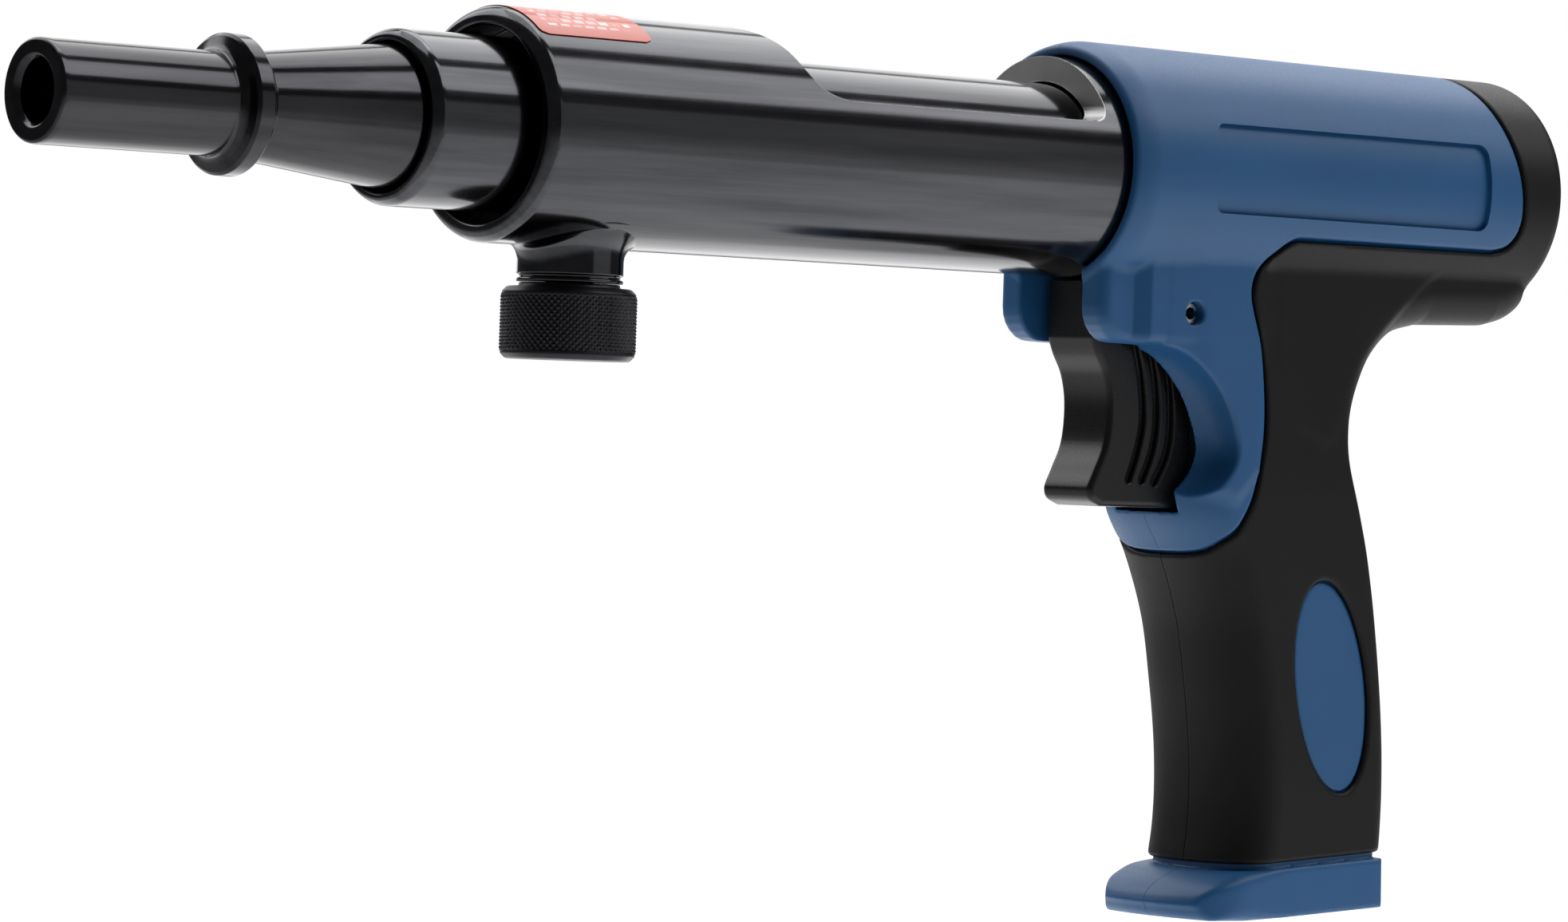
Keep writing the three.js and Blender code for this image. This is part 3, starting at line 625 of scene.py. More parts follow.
def surface(name, field, low, high, voxel):
    """The mesh of a field's zero surface, with its points moved onto the exact surface."""
    axes = [np.arange(a - 2 * voxel, b + 2.5 * voxel, voxel, dtype=np.float32) for a, b in zip(low, high)]
    values = field(axes[0][:, None, None], axes[1][None, :, None], axes[2][None, None, :])
    band = 3 * voxel
    values = np.clip(np.broadcast_to(values, [len(a) for a in axes]), -band, band)
    grid = openvdb.FloatGrid(background=band)
    grid.copyFromArray(np.ascontiguousarray(values, dtype=np.float32))
    points, quads = grid.convertToQuads(isovalue=0.0)
    points = (points * voxel + np.array([a[0] for a in axes])).astype(np.float32)
    small = np.float32(voxel * 0.1)
    steps = (small * np.eye(3)).astype(np.float32)
    for _ in range(2):
        here = field(*points.T)
        slope = np.stack([(field(*(points + step).T) - here) / small for step in steps], axis=1)
        steep = np.maximum((slope ** 2).sum(1), 0.2)
        points -= (np.clip(here / steep, -0.6 * voxel, 0.6 * voxel)[:, None] * slope).astype(np.float32)
    return mesh_from(name, points, quads)


def one_side(mesh, side, gap):
    """The part of a closed mesh on one side of the middle plane, closed along the parting line."""
    work = bmesh.new()
    work.from_mesh(mesh)
    parts = work.verts[:] + work.edges[:] + work.faces[:]
    made = bmesh.ops.bisect_plane(
        work, geom=parts, plane_co=(0, side * gap * MM, 0), plane_no=(0, side, 0), clear_inner=True)
    edges = [item for item in made["geom_cut"] if isinstance(item, bmesh.types.BMEdge)]
    bmesh.ops.triangle_fill(work, use_beauty=True, use_dissolve=False, edges=edges)
    bmesh.ops.recalc_face_normals(work, faces=work.faces)
    work.to_mesh(mesh)
    work.free()
    return mesh


# ---- The body's fields ----

BODY_FRONT, BODY_BACK = 223.5, 337.6
FRONT_RADIUS, BACK_RADIUS = 23.25, 22.45
RIM_LENGTH, RIM_DEPTH = 5.0, 1.25
TUBE_SPACE = 20.35
CHEEK_HALF, CHEEK_FRONT, CHEEK_BOTTOM = 16.2, 223.6, -32.0
CHEEK_STEP = 2.0
SCOOP_DISH = 3.4
GRIP_HALF, FLANK_HALF, GRIP_TOP = 15.6, 16.05, -6.0
GRIP_FRONT_ROUND, GRIP_BACK_ROUND = 9.5, 6.5
SHELF_TOP = -62.3
SLOT_HALF, SLOT_BACK = 8.2, 261.5
SKIN = 1.35
PANEL_DEPTH = 1.0
PARTING = 0.05
SEAM_GAP = 0.7

# z, front station, back station on the middle plane
GRIP_LEVELS = np.array([
    (-8, 236, 326), (-16, 238, 313), (-25.8, 240, 301), (-32.5, 241.2, 294.6), (-38.6, 242.6, 291.8),
    (-45, 244, 290.8), (-52, 245.8, 291.4), (-62.3, 248.9, 294.9), (-70.4, 253.9, 297.4), (-82, 258.6, 300),
    (-94.7, 261.3, 302), (-105, 262.9, 303.1), (-114, 263.5, 303.5), (-121, 263.3, 303.4),
    (-126.2, 262.6, 303.1),
])
GRIP_CURVE = np.array(curve_through(GRIP_LEVELS, 10))[::-1]

SCOOP = curve_through([
    (235, -31.9), (239.5, -32.2), (243.5, -33.3), (246.6, -35.0), (249.7, -37.5), (252.7, -40.8),
    (255.1, -44.8), (256.8, -49.6), (256.2, -53.4), (253.2, -57.0), (248.8, -59.9), (244.0, SHELF_TOP),
]) + [(205, SHELF_TOP), (205, -31.9)]
CHEEK = ([(CHEEK_FRONT, -5), (CHEEK_FRONT, -25.4)] + arc((CHEEK_FRONT + 6.6, -25.4), 6.6, 180, 270)
         + [(263, CHEEK_BOTTOM), (263, -5)])
FLANK = [(238, -6), (238, -40), (244, -50), (250, -57), (257, -59), (262, -54), (262, -6)]
LOBE = (
    [(262, -2), (262, -36), (270, -50), (280, -54)]
    + curve_through([(286.6, -51.5), (289.0, -45.2), (291.4, -38.8), (294.8, -32.5), (300.6, -27.6),
                     (308.6, -25.5)], 5)
    + [(324.5, -25.0)]
    + curve_through([(327, -24.9), (332, -23.6), (335.6, -21.2), (337.2, -17.6)], 5)
    + [(337.5, -14), (334, -2)])
SEAM = (
    [(321.5, 40), (321.5, 22)]
    + curve_through([(321.6, 20), (322.3, 14.6), (323.2, 9.7), (324.2, 4.3), (325.0, -0.5), (325.4, -4.7),
                     (324.9, -7.7), (323.2, -9.9), (320.0, -10.8)])
    + curve_through([
        (270, -10.9), (267.3, -11.0), (265.0, -12.0), (263.0, -13.9), (260.9, -16.3), (259.4, -18.5),
        (258.8, -21.4), (259.6, -24.9), (262.2, -32.1), (263.7, -40.0), (264.0, -46.5), (263.4, -51.5),
        (261.8, -58.6), (259.2, -63.4), (256.0, -67.0), (253.8, -69.6), (247, -70.6)])
    + [(200, -70.6), (200, 40)])
PANEL = (arc((314, 6.9), 2, 90, 0) + arc((314, -5.5), 2, 0, -90)
         + arc((245.5, -5.5), 2, -90, -180) + arc((245.5, 6.9), 2, 180, 90))
OVAL = {"centre": (284.8, -94.1), "along": 19.9, "across": 9.1, "lean": math.radians(-11.8)}
OVAL_DEPTH = 0.7
FOOT_FRONT, FOOT_HALF = 250.4, 16.55
FOOT = (
    [(299.0, -126.2), (299.3, -135.5), (263, -137.45)] + arc((255.2, -135.2), 2.2, 270, 190)
    + curve_through([(252.4, -134.6), (253.2, -132.9), (255.4, -131.1), (258.8, -129.6),
                     (262.5, -128.6), (270, -127.9)]))
GUIDE_PIN = (244.7, -25.8)
SCREWS = [(263, -27), (287, -31), (272, -58), (275, -119), (296, -118)]


def grip_bottom(s):
    """The grip's lower end, square to its lean: height at a station."""
    return -127.2 + 0.062 * (s - 266)


def grip_section(s, y, z, inset=0.0):
    """Level sections of the grip, with a broad rounded front, flat sides and a tighter rounded back."""
    front = np.interp(z, GRIP_CURVE[:, 0], GRIP_CURVE[:, 1]) + inset
    back = np.interp(z, GRIP_CURVE[:, 0], GRIP_CURVE[:, 2]) - inset
    half = np.interp(z, [-84, -58], [GRIP_HALF, FLANK_HALF]) - inset
    power = 2.35
    ahead = np.maximum(front + GRIP_FRONT_ROUND - s, 0) / GRIP_FRONT_ROUND
    behind = np.maximum(s - back + GRIP_BACK_ROUND, 0) / GRIP_BACK_ROUND
    depth = np.where(ahead > 0, GRIP_FRONT_ROUND, GRIP_BACK_ROUND)
    u = np.maximum(ahead, behind)
    v = np.abs(y) / half
    size = np.maximum((u ** power + v ** power) ** (1 / power), 1e-3)
    slope = np.hypot(u ** (power - 1) / depth, v ** (power - 1) / half) * size ** (1 - power)
    return (size - 1) / np.maximum(slope, 0.02)


def grip_field(s, y, z):
    """The grip between its top, inside the housing, and its lower end."""
    ends = np.maximum(grip_bottom(s) - z, z - GRIP_TOP)
    return trimmed(grip_section(s, y, z), ends, 0.8)


def barrel_housing_field(s, y, z):
    """The round housing, which tapers to the rear and closes in at its front rim."""
    radius = np.interp(s, [BODY_FRONT, BODY_BACK], [FRONT_RADIUS, BACK_RADIUS])
    lead = np.clip(1 - (s - BODY_FRONT) / RIM_LENGTH, 0, 1)
    radius = radius - RIM_DEPTH * lead ** 1.7
    around = np.hypot(y, z) - radius
    easing = np.where(s < 280, 0.5, 3.6)
    along = np.maximum(BODY_FRONT - s, s - BODY_BACK) + easing
    rim = around + easing
    return np.minimum(np.maximum(rim, along), 0) + np.hypot(np.maximum(rim, 0), np.maximum(along, 0)) - easing


def outside_field(s, y, z):
    """The whole outside of the body, before the seam splits it into hard shell and soft skin."""
    housing = barrel_housing_field(s, y, z)
    cheek_half = CHEEK_HALF - CHEEK_STEP * np.interp(s, [231.0, 233.8], [1, 0])
    cheeks = extruded(outline_field(CHEEK, s, z), y, cheek_half, 2.4)
    flank = extruded(outline_field(FLANK, s, z), y, FLANK_HALF, 1.2)
    lobe = extruded(outline_field(LOBE, s, z), y, 15.95, 6.5)
    grip = blended(blended(grip_field(s, y, z), flank, 3), cheeks, 0.8)
    body = blended(housing, grip, 1.1)
    body = blended(body, lobe, 0.8)
    dish = SCOOP_DISH * np.clip((CHEEK_HALF - np.abs(y)) / (CHEEK_HALF - SLOT_HALF), 0, 1) ** 3
    return carved(body, outline_field(SCOOP, s + dish, z), 0.8)


def works_field(s, y, z):
    """What is cut away inside: the steel tube's bore, the trigger's slot and the guide pin's hole."""
    tube = np.hypot(y, z) - TUBE_SPACE
    slot = np.maximum(np.abs(y) - SLOT_HALF, np.maximum(s - SLOT_BACK, np.maximum(SHELF_TOP - z, z + 15)))
    pin_hole = np.hypot(s - GUIDE_PIN[0], z - GUIDE_PIN[1]) - 2.15
    return np.minimum(np.minimum(tube, slot), pin_hole)


def screw_wells_field(s, y, z):
    """Round wells in the right side, down to the screws' heads."""
    wells = [np.hypot(s - station, z - height) - 4.0 for station, height in SCREWS]
    return np.maximum(np.minimum.reduce(wells), y + 8.8)


def foot_field(s, y, z):
    """The foot: a toe that is bowed in plan, with broad corners, and crisp edges above and below."""
    bow = 2.4 * (np.abs(y) / 14) ** 2.2 * np.clip((276 - s) / 22, 0, 1)
    side = np.abs(y) - FOOT_HALF
    edge = np.interp(s, [252, 260, 274], [4.5, 3.5, 0.9])
    foot = trimmed(outline_field(FOOT, s - bow, z), side, edge)
    return trimmed(foot, trimmed(FOOT_FRONT + bow - s, side, 13), 0.5)


def ankle_field(s, y, z):
    """A short neck that joins the grip's core to the foot."""
    return np.maximum(grip_section(s, y, z, 0.75), np.abs(z + 129) - 6)


def shell_field(side):
    """The hard blue shell: the outside ahead of the seam, a core under the soft skin, the oval and foot."""
    def field(s, y, z):
        outside = outside_field(s, y, z)
        body = trimmed(outside, np.minimum(outline_field(SEAM, s, z), outside + SKIN), 0.7)
        oval = trimmed(outside + OVAL_DEPTH, oval_field(s, z, **OVAL), 0.5)
        base = np.minimum(foot_field(s, y, z), ankle_field(s, y, z))
        body = np.minimum(np.minimum(body, oval), base)
        body = carved(body, works_field(s, y, z), 0.5)
        if side < 0:
            body = carved(body, screw_wells_field(s, y, z), 0.5)
        return body
    return field


def skin_field(side):
    """The soft black layer: the outside behind the seam, less the core, the oval and a fine gap."""
    def field(s, y, z):
        outside = outside_field(s, y, z)
        seam = np.minimum(outline_field(SEAM, s, z) - SEAM_GAP, oval_field(s, z, **OVAL) - 0.25)
        body = trimmed(outside, -seam, 0.8)
        body = np.maximum(body, -(outside + SKIN - 0.15))
        if side < 0:
            body = carved(body, screw_wells_field(s, y, z), 0.6)
        return body
    return field


def panel_recess():
    """A cutter for the shallow oblong recess in each side of the housing."""
    block = prism("panel", PANEL, -30, 30)
    floor = turned("panel_floor", [(230, 0), (230, FRONT_RADIUS - PANEL_DEPTH - 0.07),
                                   (330, BACK_RADIUS - PANEL_DEPTH + 0.05), (330, 0)], 256)
    return cut(block, floor)


def make_body():
    """The two hard shells and the two soft skins, split on the middle plane."""
    voxel = 0.42
    for side, word in ((1, "left"), (-1, "right")):
        near, far = (-1.2, 24.5) if side > 0 else (-24.5, 1.2)
        shell = surface("shell_" + word, shell_field(side), (221.5, near, -138.5), (339, far, 24.5), voxel)
        shell = cut(one_side(shell, side, PARTING), panel_recess())
        finish_mesh("hard_shell_" + word, shell, "frame", "blue_plastic", ["housing_shell_" + word], CREASED)
        skin = surface("skin_" + word, skin_field(side), (245, near, -127.5), (339, far, 24.5), voxel)
        skin = one_side(skin, side, PARTING)
        finish_mesh("soft_skin_" + word, skin, "frame", "soft_black", ["grip_skin_" + word], sharp=None)


# ---- Trigger ----

TRIGGER_HALF = 6.5
TRIGGER = (
    [(228.8, -20.4)]
    + curve_through([
        (228.9, -31.0), (230.2, -34.0), (232.4, -37.8), (233.5, -43.0), (233.0, -49.8), (230.9, -54.6),
        (229.4, -57.6), (229.2, -59.0), (229.9, -60.5), (232.4, -61.6)])
    + curve_through([(250.6, -61.6), (253.4, -58.4), (254.6, -52.0), (254.1, -44.2), (251.3, -37.0),
                     (247.4, -32.6)])
    + [(247.0, -20.4)])
TRIGGER_FLUTES = [
    [(239.4, -32.0), (241.1, -37.9), (241.9, -45.3), (240.8, -51.1), (238.8, -56.5)],
    [(243.3, -32.9), (244.8, -38.6), (245.4, -45.2), (244.6, -51.0), (242.2, -56.6)],
    [(247.2, -34.4), (248.6, -40.2), (249.0, -47.1), (248.0, -52.2), (245.4, -56.9)],
]


def path_field(points, s, z):
    """Distance to an open path in side view."""
    nearest = np.full(np.broadcast(s, z).shape, 1e9)
    for start, end in zip(points, points[1:]):
        nearest = np.minimum(nearest, squared_distance(s, z, start, end))
    return np.sqrt(nearest)


def trigger_field(s, y, z):
    """The trigger, with a slot for the guide pin and three curved flutes in each side."""
    body = extruded(outline_field(TRIGGER, s, z), y, TRIGGER_HALF, 1.1)
    hollow = np.maximum(np.maximum(236.4 - s, s - 247.4), np.abs(z - GUIDE_PIN[1]) - 2.4)
    body = carved(body, hollow, 0.3)
    for flute in TRIGGER_FLUTES:
        path = curve_through(flute, 5)
        groove = np.maximum(path_field(path, s, z) - 0.72, TRIGGER_HALF - 1.2 - np.abs(y))
        body = carved(body, groove, 0.4)
    return body


def make_trigger():
    """The trigger, from its field."""
    voxel = 0.26
    mesh = surface("trigger", trigger_field, (227, -7, -62.2), (256, 7, -19.8), voxel)
    finish_mesh("trigger_piece", mesh, "trigger_body", "trigger_black", ["trigger"], sharp=None)


# ---- Steel pieces ----

def washer(name, front, back, inner, outer, inner_easing, outer_easing):
    """A plain ring between two stations and two radii."""
    profile = ring_profile([
        (front, inner, inner_easing), (front, outer, outer_easing),
        (back, outer, outer_easing), (back, inner, inner_easing)])
    return turned(name, profile, 96, closed=True)


def make_guide():
    """The nose: a tube with a collar and a cone, and the wire ring behind it."""
    profile = ring_profile([
        (0, 5.9, 0.3), (0, 8.5, 0.9), (1.3, 8.6, 0.2), (35.4, 8.6, 2.6), (36.1, 11.2, 0.1),
        (36.6, 11.7, 0.15), (39.3, 11.7, 0.15), (39.8, 11.2, 0.1), (40.2, 9.6, 0.3), (41.2, 9.6, 0.3),
        (41.6, 8.9, 0.4), (69.4, 12.15, 0.5), (76.2, 12.15, 0.1), (76.2, 10.3, 0.1), (78.8, 10.3, 0.1),
        (78.8, 12.15, 0.1), (89.9, 12.15, 0.8), (89.9, 5.0, 0.2), (1.0, 5.0, 0.4),
    ])
    finish_mesh("nose_guide", turned("nose_guide", profile, 160, closed=True), "barrel_group", "black_steel",
                ["muzzle_guide"], look="nose_steel")
    ring = [(77.5 + 0.8 * math.cos(a), 11.5 + 0.8 * math.sin(a))
            for a in np.linspace(0, 2 * math.pi, 16, endpoint=False)]
    finish_mesh("nose_ring", turned("nose_ring", ring, 96, closed=True), "barrel_group", "spring_steel",
                ["guide_retaining_ring"])


def make_barrel():
    """The sliding barrel, with the stop pin's groove below, and the two soft rings inside it."""
    profile = ring_profile([
        (69.7, 13.0, 0.3), (69.7, 13.9, 0.9), (71.2, 14.9, 1.2), (220.4, 14.9, 0.5), (221, 14.3, 0.3),
        (221, 10.8, 0.3), (246.9, 10.8, 0.8), (246.9, 2.9, 0.3), (222, 2.9, 0.1), (222, 9.0, 0.1),
        (91, 9.0, 0.3), (91, 12.55, 0.2), (70.2, 12.55, 0.3),
    ])
    tube = turned("sliding_barrel", profile, 192, closed=True)
    groove = prism("stop_groove", [(92.4, -17), (92.4, -13.1), (184.6, -13.1), (184.6, -17)], -3.4, 3.4)
    finish_mesh("sliding_barrel", cut(tube, groove), "barrel_group", "black_steel", ["barrel"])
    for name, front in (("buffer_ring_front", 91.3), ("buffer_ring_rear", 97.0)):
        ring = washer(name, front, front + 5.4, 5.4, 8.6, 0.8, 0.8)
        finish_mesh(name + "_piece", ring, "barrel_group", "buffer_rubber", [name])


def make_piston():
    """The piston: a long rod and a head with two ring grooves."""
    ring_stations = (209, 214)
    corners = [(104.5, 0, 0), (104.5, 4.5, 0.8), (203, 4.5, 0.8), (205, 8.7, 0.4)]
    for station in ring_stations:
        front, back = station - 1.2, station + 1.2
        corners += [(front, 8.7, 0.2), (front, 7.3, 0.1), (back, 7.3, 0.1), (back, 8.7, 0.2)]
    corners += [(221.6, 8.7, 0.5), (221.6, 0, 0)]
    piston = turned("drive_piston", eased(corners), 96)
    finish_mesh("drive_piston", piston, "piston_group", "bright_steel", ["piston"])
    for i, station in enumerate(ring_stations, 1):
        ring = washer("piston_ring", station - 0.8, station + 0.8, 7.6, 8.85, 0.1, 0.2)
        finish_mesh(f"piston_ring_{i}_piece", ring, "piston_group", "spring_steel", [f"piston_ring_{i}"])


STOP = 111.0
TUBE_RADIUS, TUBE_BORE = 20.0, 15.2
WINDOW_BACK, WINDOW_FLOOR, WINDOW_CORNER = 219.5, 7.6, 3


def round_stop(radius, height, angle):
    """A point round the stop pin's upright axis."""
    return STOP + radius * math.cos(angle), radius * math.sin(angle), height


def neck_mesh():
    """The neck for the stop pin, flared where it meets the round underside of the tube."""
    sides, steps = 96, 8
    radius, flare = 9.2, 3.2
    inside = -16
    rows = [[(0, inside)] * sides, [(radius + flare, inside)] * sides]

    def under(r, angle):
        return -math.sqrt(TUBE_RADIUS ** 2 - (r * math.sin(angle)) ** 2)

    for k in range(steps + 1):
        t = k / steps
        row = []
        for i in range(sides):
            angle = 2 * math.pi * i / sides
            top = under(radius + flare, angle) + 0.25
            corner = under(radius, angle) - 0.1
            row.append((bend(radius + flare, radius, radius, t), bend(top, corner, corner - flare, t)))
        rows.append(row)
    waist = radius - 0.5
    end = eased([(radius, -24.2, 0), (radius, -24.6, 0.2), (waist, -24.8, 0.2), (waist, -25.2, 0.2),
                 (radius, -25.4, 0.2), (radius, -26, 0.5), (0, -26, 0)])
    rows += [[corner] * sides for corner in end]
    return lathe("neck", rows, sides, round_stop)


def window_outline():
    """The window in side view: a ramp at its front, a level floor and a rounded corner at its back."""
    front = 138.5
    ramp_curve = curve_through([
        (front, 20.6), (141.5, 20.1), (144.2, 19.2), (146.1, 18.1), (147.7, 16.0), (148.7, 13.6),
        (150.1, 11.0), (152.6, 8.9), (156.3, 7.75), (160, WINDOW_FLOOR)], 5)
    corner = (WINDOW_BACK - WINDOW_CORNER, WINDOW_FLOOR + WINDOW_CORNER)
    return ([(front, 30)] + ramp_curve + [(corner[0], WINDOW_FLOOR)]
            + arc(corner, WINDOW_CORNER, -90, 0, 6)[1:] + [(WINDOW_BACK, 30)])


def window_lining():
    """Thin bare metal on the window's back face."""
    corner = (WINDOW_BACK - WINDOW_CORNER, WINDOW_FLOOR + WINDOW_CORNER)
    outer, inner = WINDOW_CORNER - 0.05, WINDOW_CORNER - 0.17
    outline = ([(WINDOW_BACK - 0.05, 21)] + arc(corner, outer, 0, -90, 6)
               + arc(corner, inner, -90, 0, 6) + [(WINDOW_BACK - 0.17, 21)])
    low, high = TUBE_BORE + 0.15, TUBE_RADIUS - 0.04
    band = turned("band", [(214, low), (214, high), (221, high), (221, low)], 192, closed=True)
    return cut(prism("window_end", outline, -22, 22), band, "INTERSECT")


def make_housing_tube():
    """The slotted steel tube, with the neck and hole for the stop pin, a window and the sear's slot."""
    profile = ring_profile([
        (90.2, 17.2, 0.4), (90.2, 18.7, 0.8), (91.6, TUBE_RADIUS, 0.9), (318, TUBE_RADIUS, 0.6),
        (318, TUBE_BORE, 0.4), (98, TUBE_BORE, 0.2), (98, 16.7, 0.2), (90.7, 16.7, 0.3),
    ])
    tube = turned("steel_housing", profile, 192, closed=True)
    bore = turned("bore", [(60, 0), (60, TUBE_BORE), (160, TUBE_BORE), (160, 0)], 192)
    tube = cut(tube, cut(neck_mesh(), bore), "UNION")
    tube = cut(tube, turned("pin_hole", [(0, -30), (4.7, -30), (4.7, -10), (0, -10)], 64, upright_at=STOP))
    tube = cut(tube, prism("window", window_outline(), -26, 26))
    tube = cut(tube, prism("sear_slot", [(279.4, -9), (279.4, -22), (299, -22), (299, -9)], -3.6, 3.6))
    finish_mesh("steel_housing", tube, "frame", "black_steel", ["housing_tube"])
    finish_mesh("window_end_face", window_lining(), "frame", "black_steel", look="machined_steel")


def triangle_wave(value):
    """1 at whole numbers and 0 halfway between them."""
    return abs((value % 1.0) * 2 - 1)


def make_knob():
    """The stop knob, with a diamond knurl in its surface between two plain rims."""
    sides, teeth, depth = 480, 64, 0.34
    radius, top, bottom = 11.75, -26.8, -39.2
    band_top, band_bottom = top - 1.3, bottom + 1.3
    pitch = 2 * math.pi * radius / teeth
    rim, face, shank = radius - 0.25, radius - 1.1, 4.7
    profile = eased([(0, bottom, 0), (face, bottom, 0.4), (rim, bottom + 0.9, 0.4), (rim, band_bottom, 0)])
    profile += [(radius, z) for z in np.linspace(band_bottom, band_top, 72)]
    profile += eased([(rim, band_top, 0), (rim, top - 0.9, 0.4), (face, top, 0.4), (8.8, top, 0.1),
                      (8.6, top + 0.65, 0.1), (shank, top + 0.65, 0.1), (shank, -36.7, 0.2), (0, -36.7, 0)])

    def knurled(r, z, angle):
        if r == radius:
            turn = angle / (2 * math.pi) * teeth
            climb = (z - band_bottom) / pitch
            ridge = min(triangle_wave(turn + climb), triangle_wave(turn - climb))
            edge = max(0.0, min(1.0, (z - band_bottom) / 0.5, (band_top - z) / 0.5))
            r -= depth * (1 - min(1.0, 1.25 * ridge)) * edge + 0.12 * (1 - edge)
        return round_stop(r, z, angle)

    mesh = lathe("knurled_knob", [[corner] * sides for corner in profile], sides, knurled)
    finish_mesh("knurled_knob", mesh, "knob_body", "black_steel", ["stop_knob"], CREASED, "knurled_steel")


def make_stop_pin():
    """The stop pin: a plain nose, and a shank with two grooves."""
    corners = [(0, -36.4, 0), (3.9, -36.4, 0.3), (4.4, -35.9, 0.3)]
    for low in (-26.2, -22.4):
        corners += [(4.4, low, 0.1), (3.7, low + 0.3, 0.3), (3.7, low + 1.3, 0.3), (4.4, low + 1.6, 0.1)]
    corners += [(4.4, -17.2, 0.4), (3.1, -16.4, 0.4), (3, -13.8, 0.3), (0, -13.5, 0)]
    mesh = turned("plain_stop_pin", eased(corners, 2), 64, upright_at=STOP)
    finish_mesh("plain_stop_pin", mesh, "stop_pin_body", "bright_steel", ["stop_pin"])


def make_label():
    """A thin film on the upper left of the tube, with rounded corners."""
    front, back, low, high = 92.6, 116.9, math.radians(48.5), math.radians(119.5)
    inner, outer = TUBE_RADIUS + 0.06, TUBE_RADIUS + 0.2
    width, height = back - front, (high - low) * outer
    corner = 1.6
    columns, rows = 24, 40
    grid = []
    for j in range(rows + 1):
        v = height * j / rows
        near = min(v, height - v)
        pull = corner - math.sqrt(max(corner ** 2 - (corner - min(near, corner)) ** 2, 0))
        grid.append([(pull + (width - 2 * pull) * i / columns, v) for i in range(columns + 1)])
    points, uvs = [], []
    for radius in (outer, inner):
        for row in grid:
            for u, v in row:
                angle = low + v / outer
                points.append((front + u, radius * math.cos(angle), radius * math.sin(angle)))
                uvs.append((u / width, v / height))
    faces = []
    layer = (rows + 1) * (columns + 1)
    number = np.arange(layer).reshape(rows + 1, columns + 1)
    for a, b in zip(number[:-1, :-1].flat, number[1:, :-1].flat):
        faces.append((a, a + 1, b + 1, b))
        faces.append((layer + a, layer + b, layer + b + 1, layer + a + 1))
    rim = [*number[0], *number[1:, -1], *number[-1, -2::-1], *number[-2:0:-1, 0]]
    for a, b in zip(rim, rim[1:] + rim[:1]):
        faces.append((a, b, layer + b, layer + a))
    mesh = mesh_from("plain_label", points, faces)
    layer_uv = mesh.uv_layers.new(name="label")
    for loop in mesh.loops:
        layer_uv.data[loop.index].uv = uvs[loop.vertex_index]
    finish_mesh("plain_label", mesh, "frame", "red_label", ["tube_label"])


def wire_mesh(name, points, radius, sides=12):
    """A round wire along points, closed at its ends."""
    path = np.array(points, float)
    along = np.gradient(path, axis=0)
    along /= np.linalg.norm(along, axis=1)[:, None]
    side = np.cross(along[0], (0.3, 0.5, 0.8))
    rings, made = [], []
    for here, forward in zip(path, along):
        side = side - forward * np.dot(side, forward)
        side /= np.linalg.norm(side)
        other = np.cross(forward, side)
        rings.append(list(range(len(made), len(made) + sides)))
        for k in range(sides):
            angle = 2 * math.pi * k / sides
            made.append(here + radius * (math.cos(angle) * side + math.sin(angle) * other))
    faces = turned_faces(rings, sides, False) + [tuple(rings[0]), tuple(reversed(rings[-1]))]
    return mesh_from(name, made, faces)


# Front and back station, height, radius and wire radius, and the number of turns.
SPRINGS = {
    "barrel_spring": (221.5, 262.1, 0, 13.4, 0.85, 6),
    "firing_pin_spring": (300.4, 317.9, 0, 4.3, 0.55, 7),
    "trigger_spring": (245.1, 264.3, -42, 2.3, 0.38, 7),
}


def make_springs():
    """The level springs, whose turns close up at their ends, and the small upright sear spring."""
    coils = {}
    for name, (front, back, z, radius, wire, turns) in SPRINGS.items():
        points = []
        for share in np.linspace(0, 1, turns * 28 + 1):
            angle = 2 * math.pi * turns * share
            closing = share - 0.35 / turns / (2 * math.pi) * math.sin(2 * math.pi * share)
            station = front + wire + closing * (back - front - 2 * wire)
            points.append((station, radius * math.cos(angle), z + radius * math.sin(angle)))
        coils[name] = (points, wire)
    points = []
    for share in np.linspace(0, 1, 97):
        angle = 2 * math.pi * 4 * share
        points.append((283.6 + 1.5 * math.cos(angle), 1.5 * math.sin(angle), -14.2 - 5.7 * share))
    coils["sear_spring"] = (points, 0.28)
    for name, (points, wire) in coils.items():
        finish_mesh(name + "_piece", wire_mesh(name, points, wire), "frame", "spring_steel", [name])


def make_breech():
    """The breech block, the firing pin behind it and the seat of the pin's spring."""
    block = turned("breech", ring_profile([
        (262.5, 1.7, 0.1), (262.5, 13.8, 0.5), (263.4, 14.7, 0.4), (276, 14.7, 0.5), (276, 1.7, 0.2)]),
        128, closed=True)
    finish_mesh("breech_piece", block, "frame", "bright_steel", ["breech_block"])
    pin = turned("firing_pin", eased([
        (264, 0, 0), (264, 1.25, 0.4), (277, 1.25, 0.2), (277, 7, 0.4), (283, 7, 0.4), (283, 5, 0.3),
        (300, 5, 0.5), (300, 3, 0.2), (312, 3, 0.5), (312, 0, 0)]), 96)
    finish_mesh("firing_pin_piece", pin, "firing_pin_body", "bright_steel", ["firing_pin"])
    seat = washer("spring_seat", 318.3, 323, 3.4, 16.5, 0.3, 0.5)
    finish_mesh("spring_seat_piece", seat, "frame", "bright_steel", ["spring_seat"])


def make_rear_cap():
    """The end cap, with a ring groove in its face and a coin slot across it."""
    cap = turned("end_cap", eased([
        (324, 0, 0), (324, 18.4, 0.3), (335.6, 18.4, 1.4), (337.1, 16.6, 0.8), (337.1, 15.2, 0.2),
        (336.5, 14.9, 0.2), (336.5, 14.3, 0.2), (337.1, 14.0, 0.2), (337.1, 0, 0)]), 160)
    slot = prism("coin_slot", [(334.9, -1.25), (334.9, 1.25), (340, 1.25), (340, -1.25)], -10.5, 10.5)
    finish_mesh("end_cap", cut(cap, slot), "frame", "cap_black", ["rear_cap"])


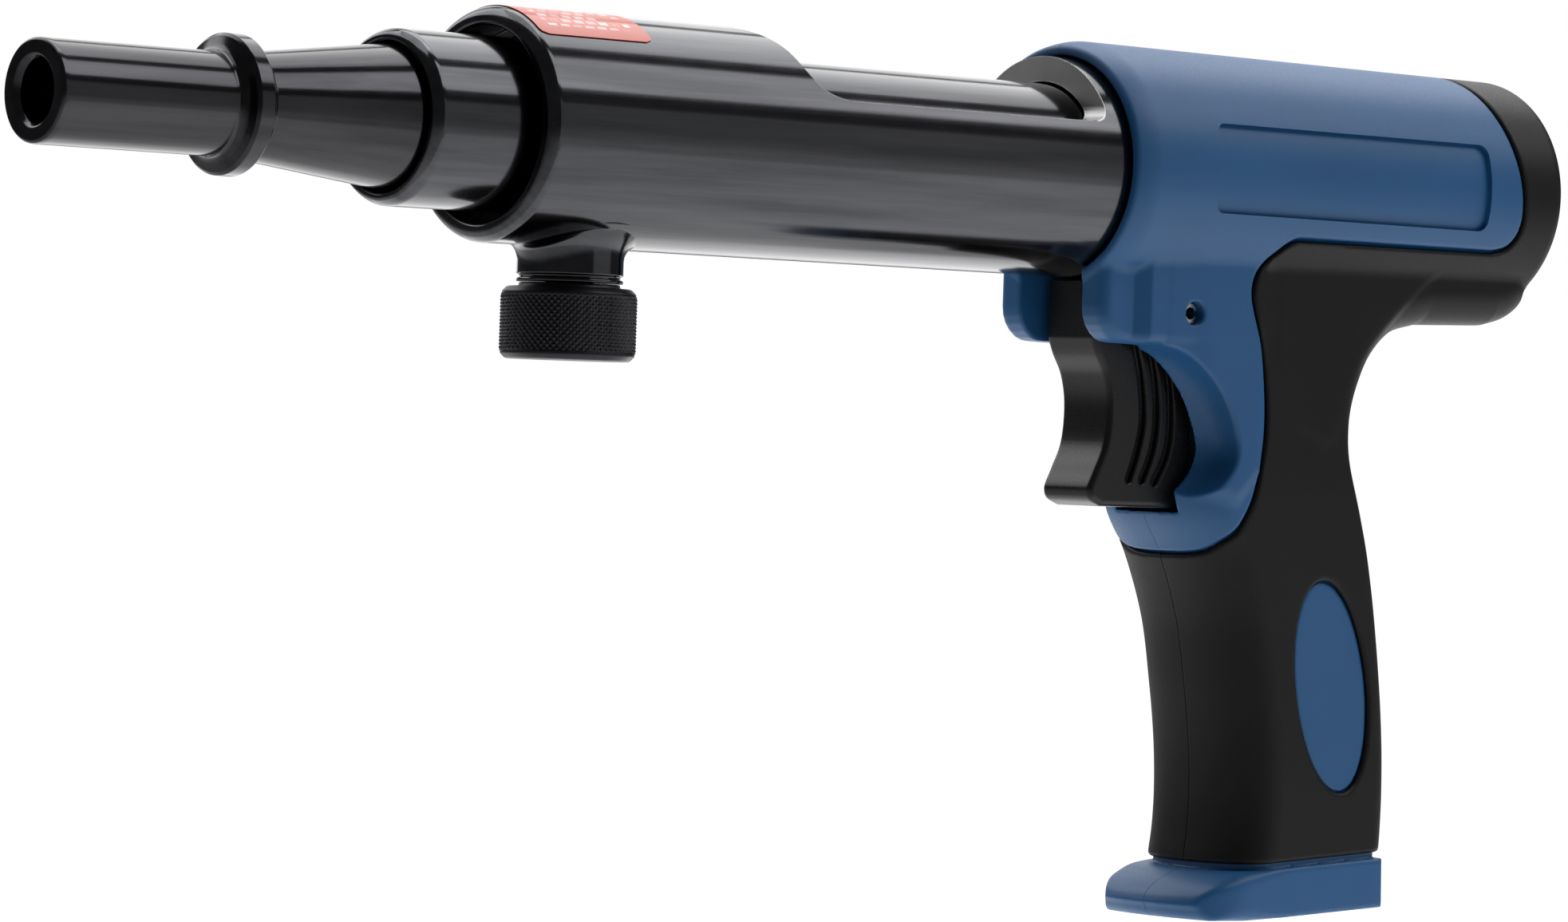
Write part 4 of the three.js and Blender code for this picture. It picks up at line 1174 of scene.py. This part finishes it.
def make_guide_pin():
    """A rolled spring pin: a tube with a slit, just under the cheeks' surface."""
    sides, slit, half = 40, math.radians(22), 15.0
    outside = [(-half, 1.8), (-half + 0.3, 2.0), (half - 0.3, 2.0), (half, 1.8)]
    points, rings = [], []
    for y, radius in [(-half, 1.15), *outside, (half, 1.15)]:
        rings.append(list(range(len(points), len(points) + sides + 1)))
        for angle in np.linspace(slit, 2 * math.pi - slit, sides + 1):
            station = GUIDE_PIN[0] + radius * math.cos(angle)
            points.append((station, y, GUIDE_PIN[1] + radius * math.sin(angle)))
    faces = []
    for first, second in zip(rings, rings[1:] + rings[:1]):
        for i in range(sides):
            faces.append((first[i], first[i + 1], second[i + 1], second[i]))
    faces.append(tuple(ring[0] for ring in rings))
    faces.append(tuple(ring[-1] for ring in reversed(rings)))
    pin = mesh_from("rolled_pin", points, faces)
    finish_mesh("rolled_pin", pin, "frame", "bright_steel", ["trigger_guide_pin"])


def make_screws():
    """Cap screws with a hexagon socket, in wells on the right side."""
    profile = eased([(0, -11.6, 0), (3.4, -11.6, 0.5), (3.6, -11.0, 0.3), (3.6, -9.1, 0.2), (1.6, -9.1, 0.2),
                     (1.6, 7.2, 0.3), (0, 7.2, 0)])
    sides, socket_radius = 64, 1.75
    for i, (station, height) in enumerate(SCREWS, 1):
        def sideways(r, y, angle):
            return station + r * math.cos(angle), y, height + r * math.sin(angle)

        body = lathe("screw", [[corner] * sides for corner in profile], sides, sideways)
        hexagon = arc((station, height), socket_radius, 0, 300, 5)
        body = cut(body, prism("socket", hexagon, -14, -10.0))
        finish_mesh(f"cap_screw_{i}", body, "frame", "black_steel", [f"housing_screw_{i}"])


# ---- Everything together ----

MATERIALS = make_materials()


def dress_cad_nodes():
    """Every CAD node that stays shown gets its slot's full material."""
    slots = {row["node"]: row["material_slot"] for row in frame["record"]["subparts"]}
    for name, item in frame["nodes"].items():
        if item.hide_render:
            continue
        item.data.materials.clear()
        item.data.materials.append(MATERIALS[slots[name]])
        item.data.set_sharp_from_angle(angle=SHARP)


# Where the long softboxes stand: their distance from the barrel axis, length and middle, in metres.
STRIP_REACH, STRIP_LENGTH, STRIP_X = 1.13, 1.5, -0.83


def strip(name, turn, width, radiance):
    """A long softbox that the steel tube mirrors to the camera. Its place and its width are angles in
    degrees round the barrel axis.
    """
    size = (STRIP_LENGTH, STRIP_REACH * math.radians(width))
    turn = math.radians(turn)
    centre = (STRIP_X, STRIP_REACH * math.cos(turn), AXIS_Z + STRIP_REACH * math.sin(turn))
    softbox(name, centre, size, math.pi * size[0] * size[1] * radiance, (STRIP_X, 0, AXIS_Z))


def make_lights():
    """Long softboxes round the axis, behind the tool, and two more above it."""
    strip("side_wall", 2, 44, 0.33)
    strip("rear_key", 54, 34, 2.9)
    strip("overhead", 109, 54, 2.8)
    strip("backdrop", 162, 44, 1.3)
    softbox("far_top", (0.45, -1.1, 0.95), (1.0, 1.0), 8.5)
    softbox("top", (0.1, -0.3, 1.3), (0.9, 0.9), 5)


make_camera()
make_world()
make_floor()
make_lights()
make_body()
make_trigger()
make_guide()
make_barrel()
make_piston()
make_housing_tube()
make_knob()
make_stop_pin()
make_label()
make_springs()
make_breech()
make_rear_cap()
make_guide_pin()
make_screws()
dress_cad_nodes()
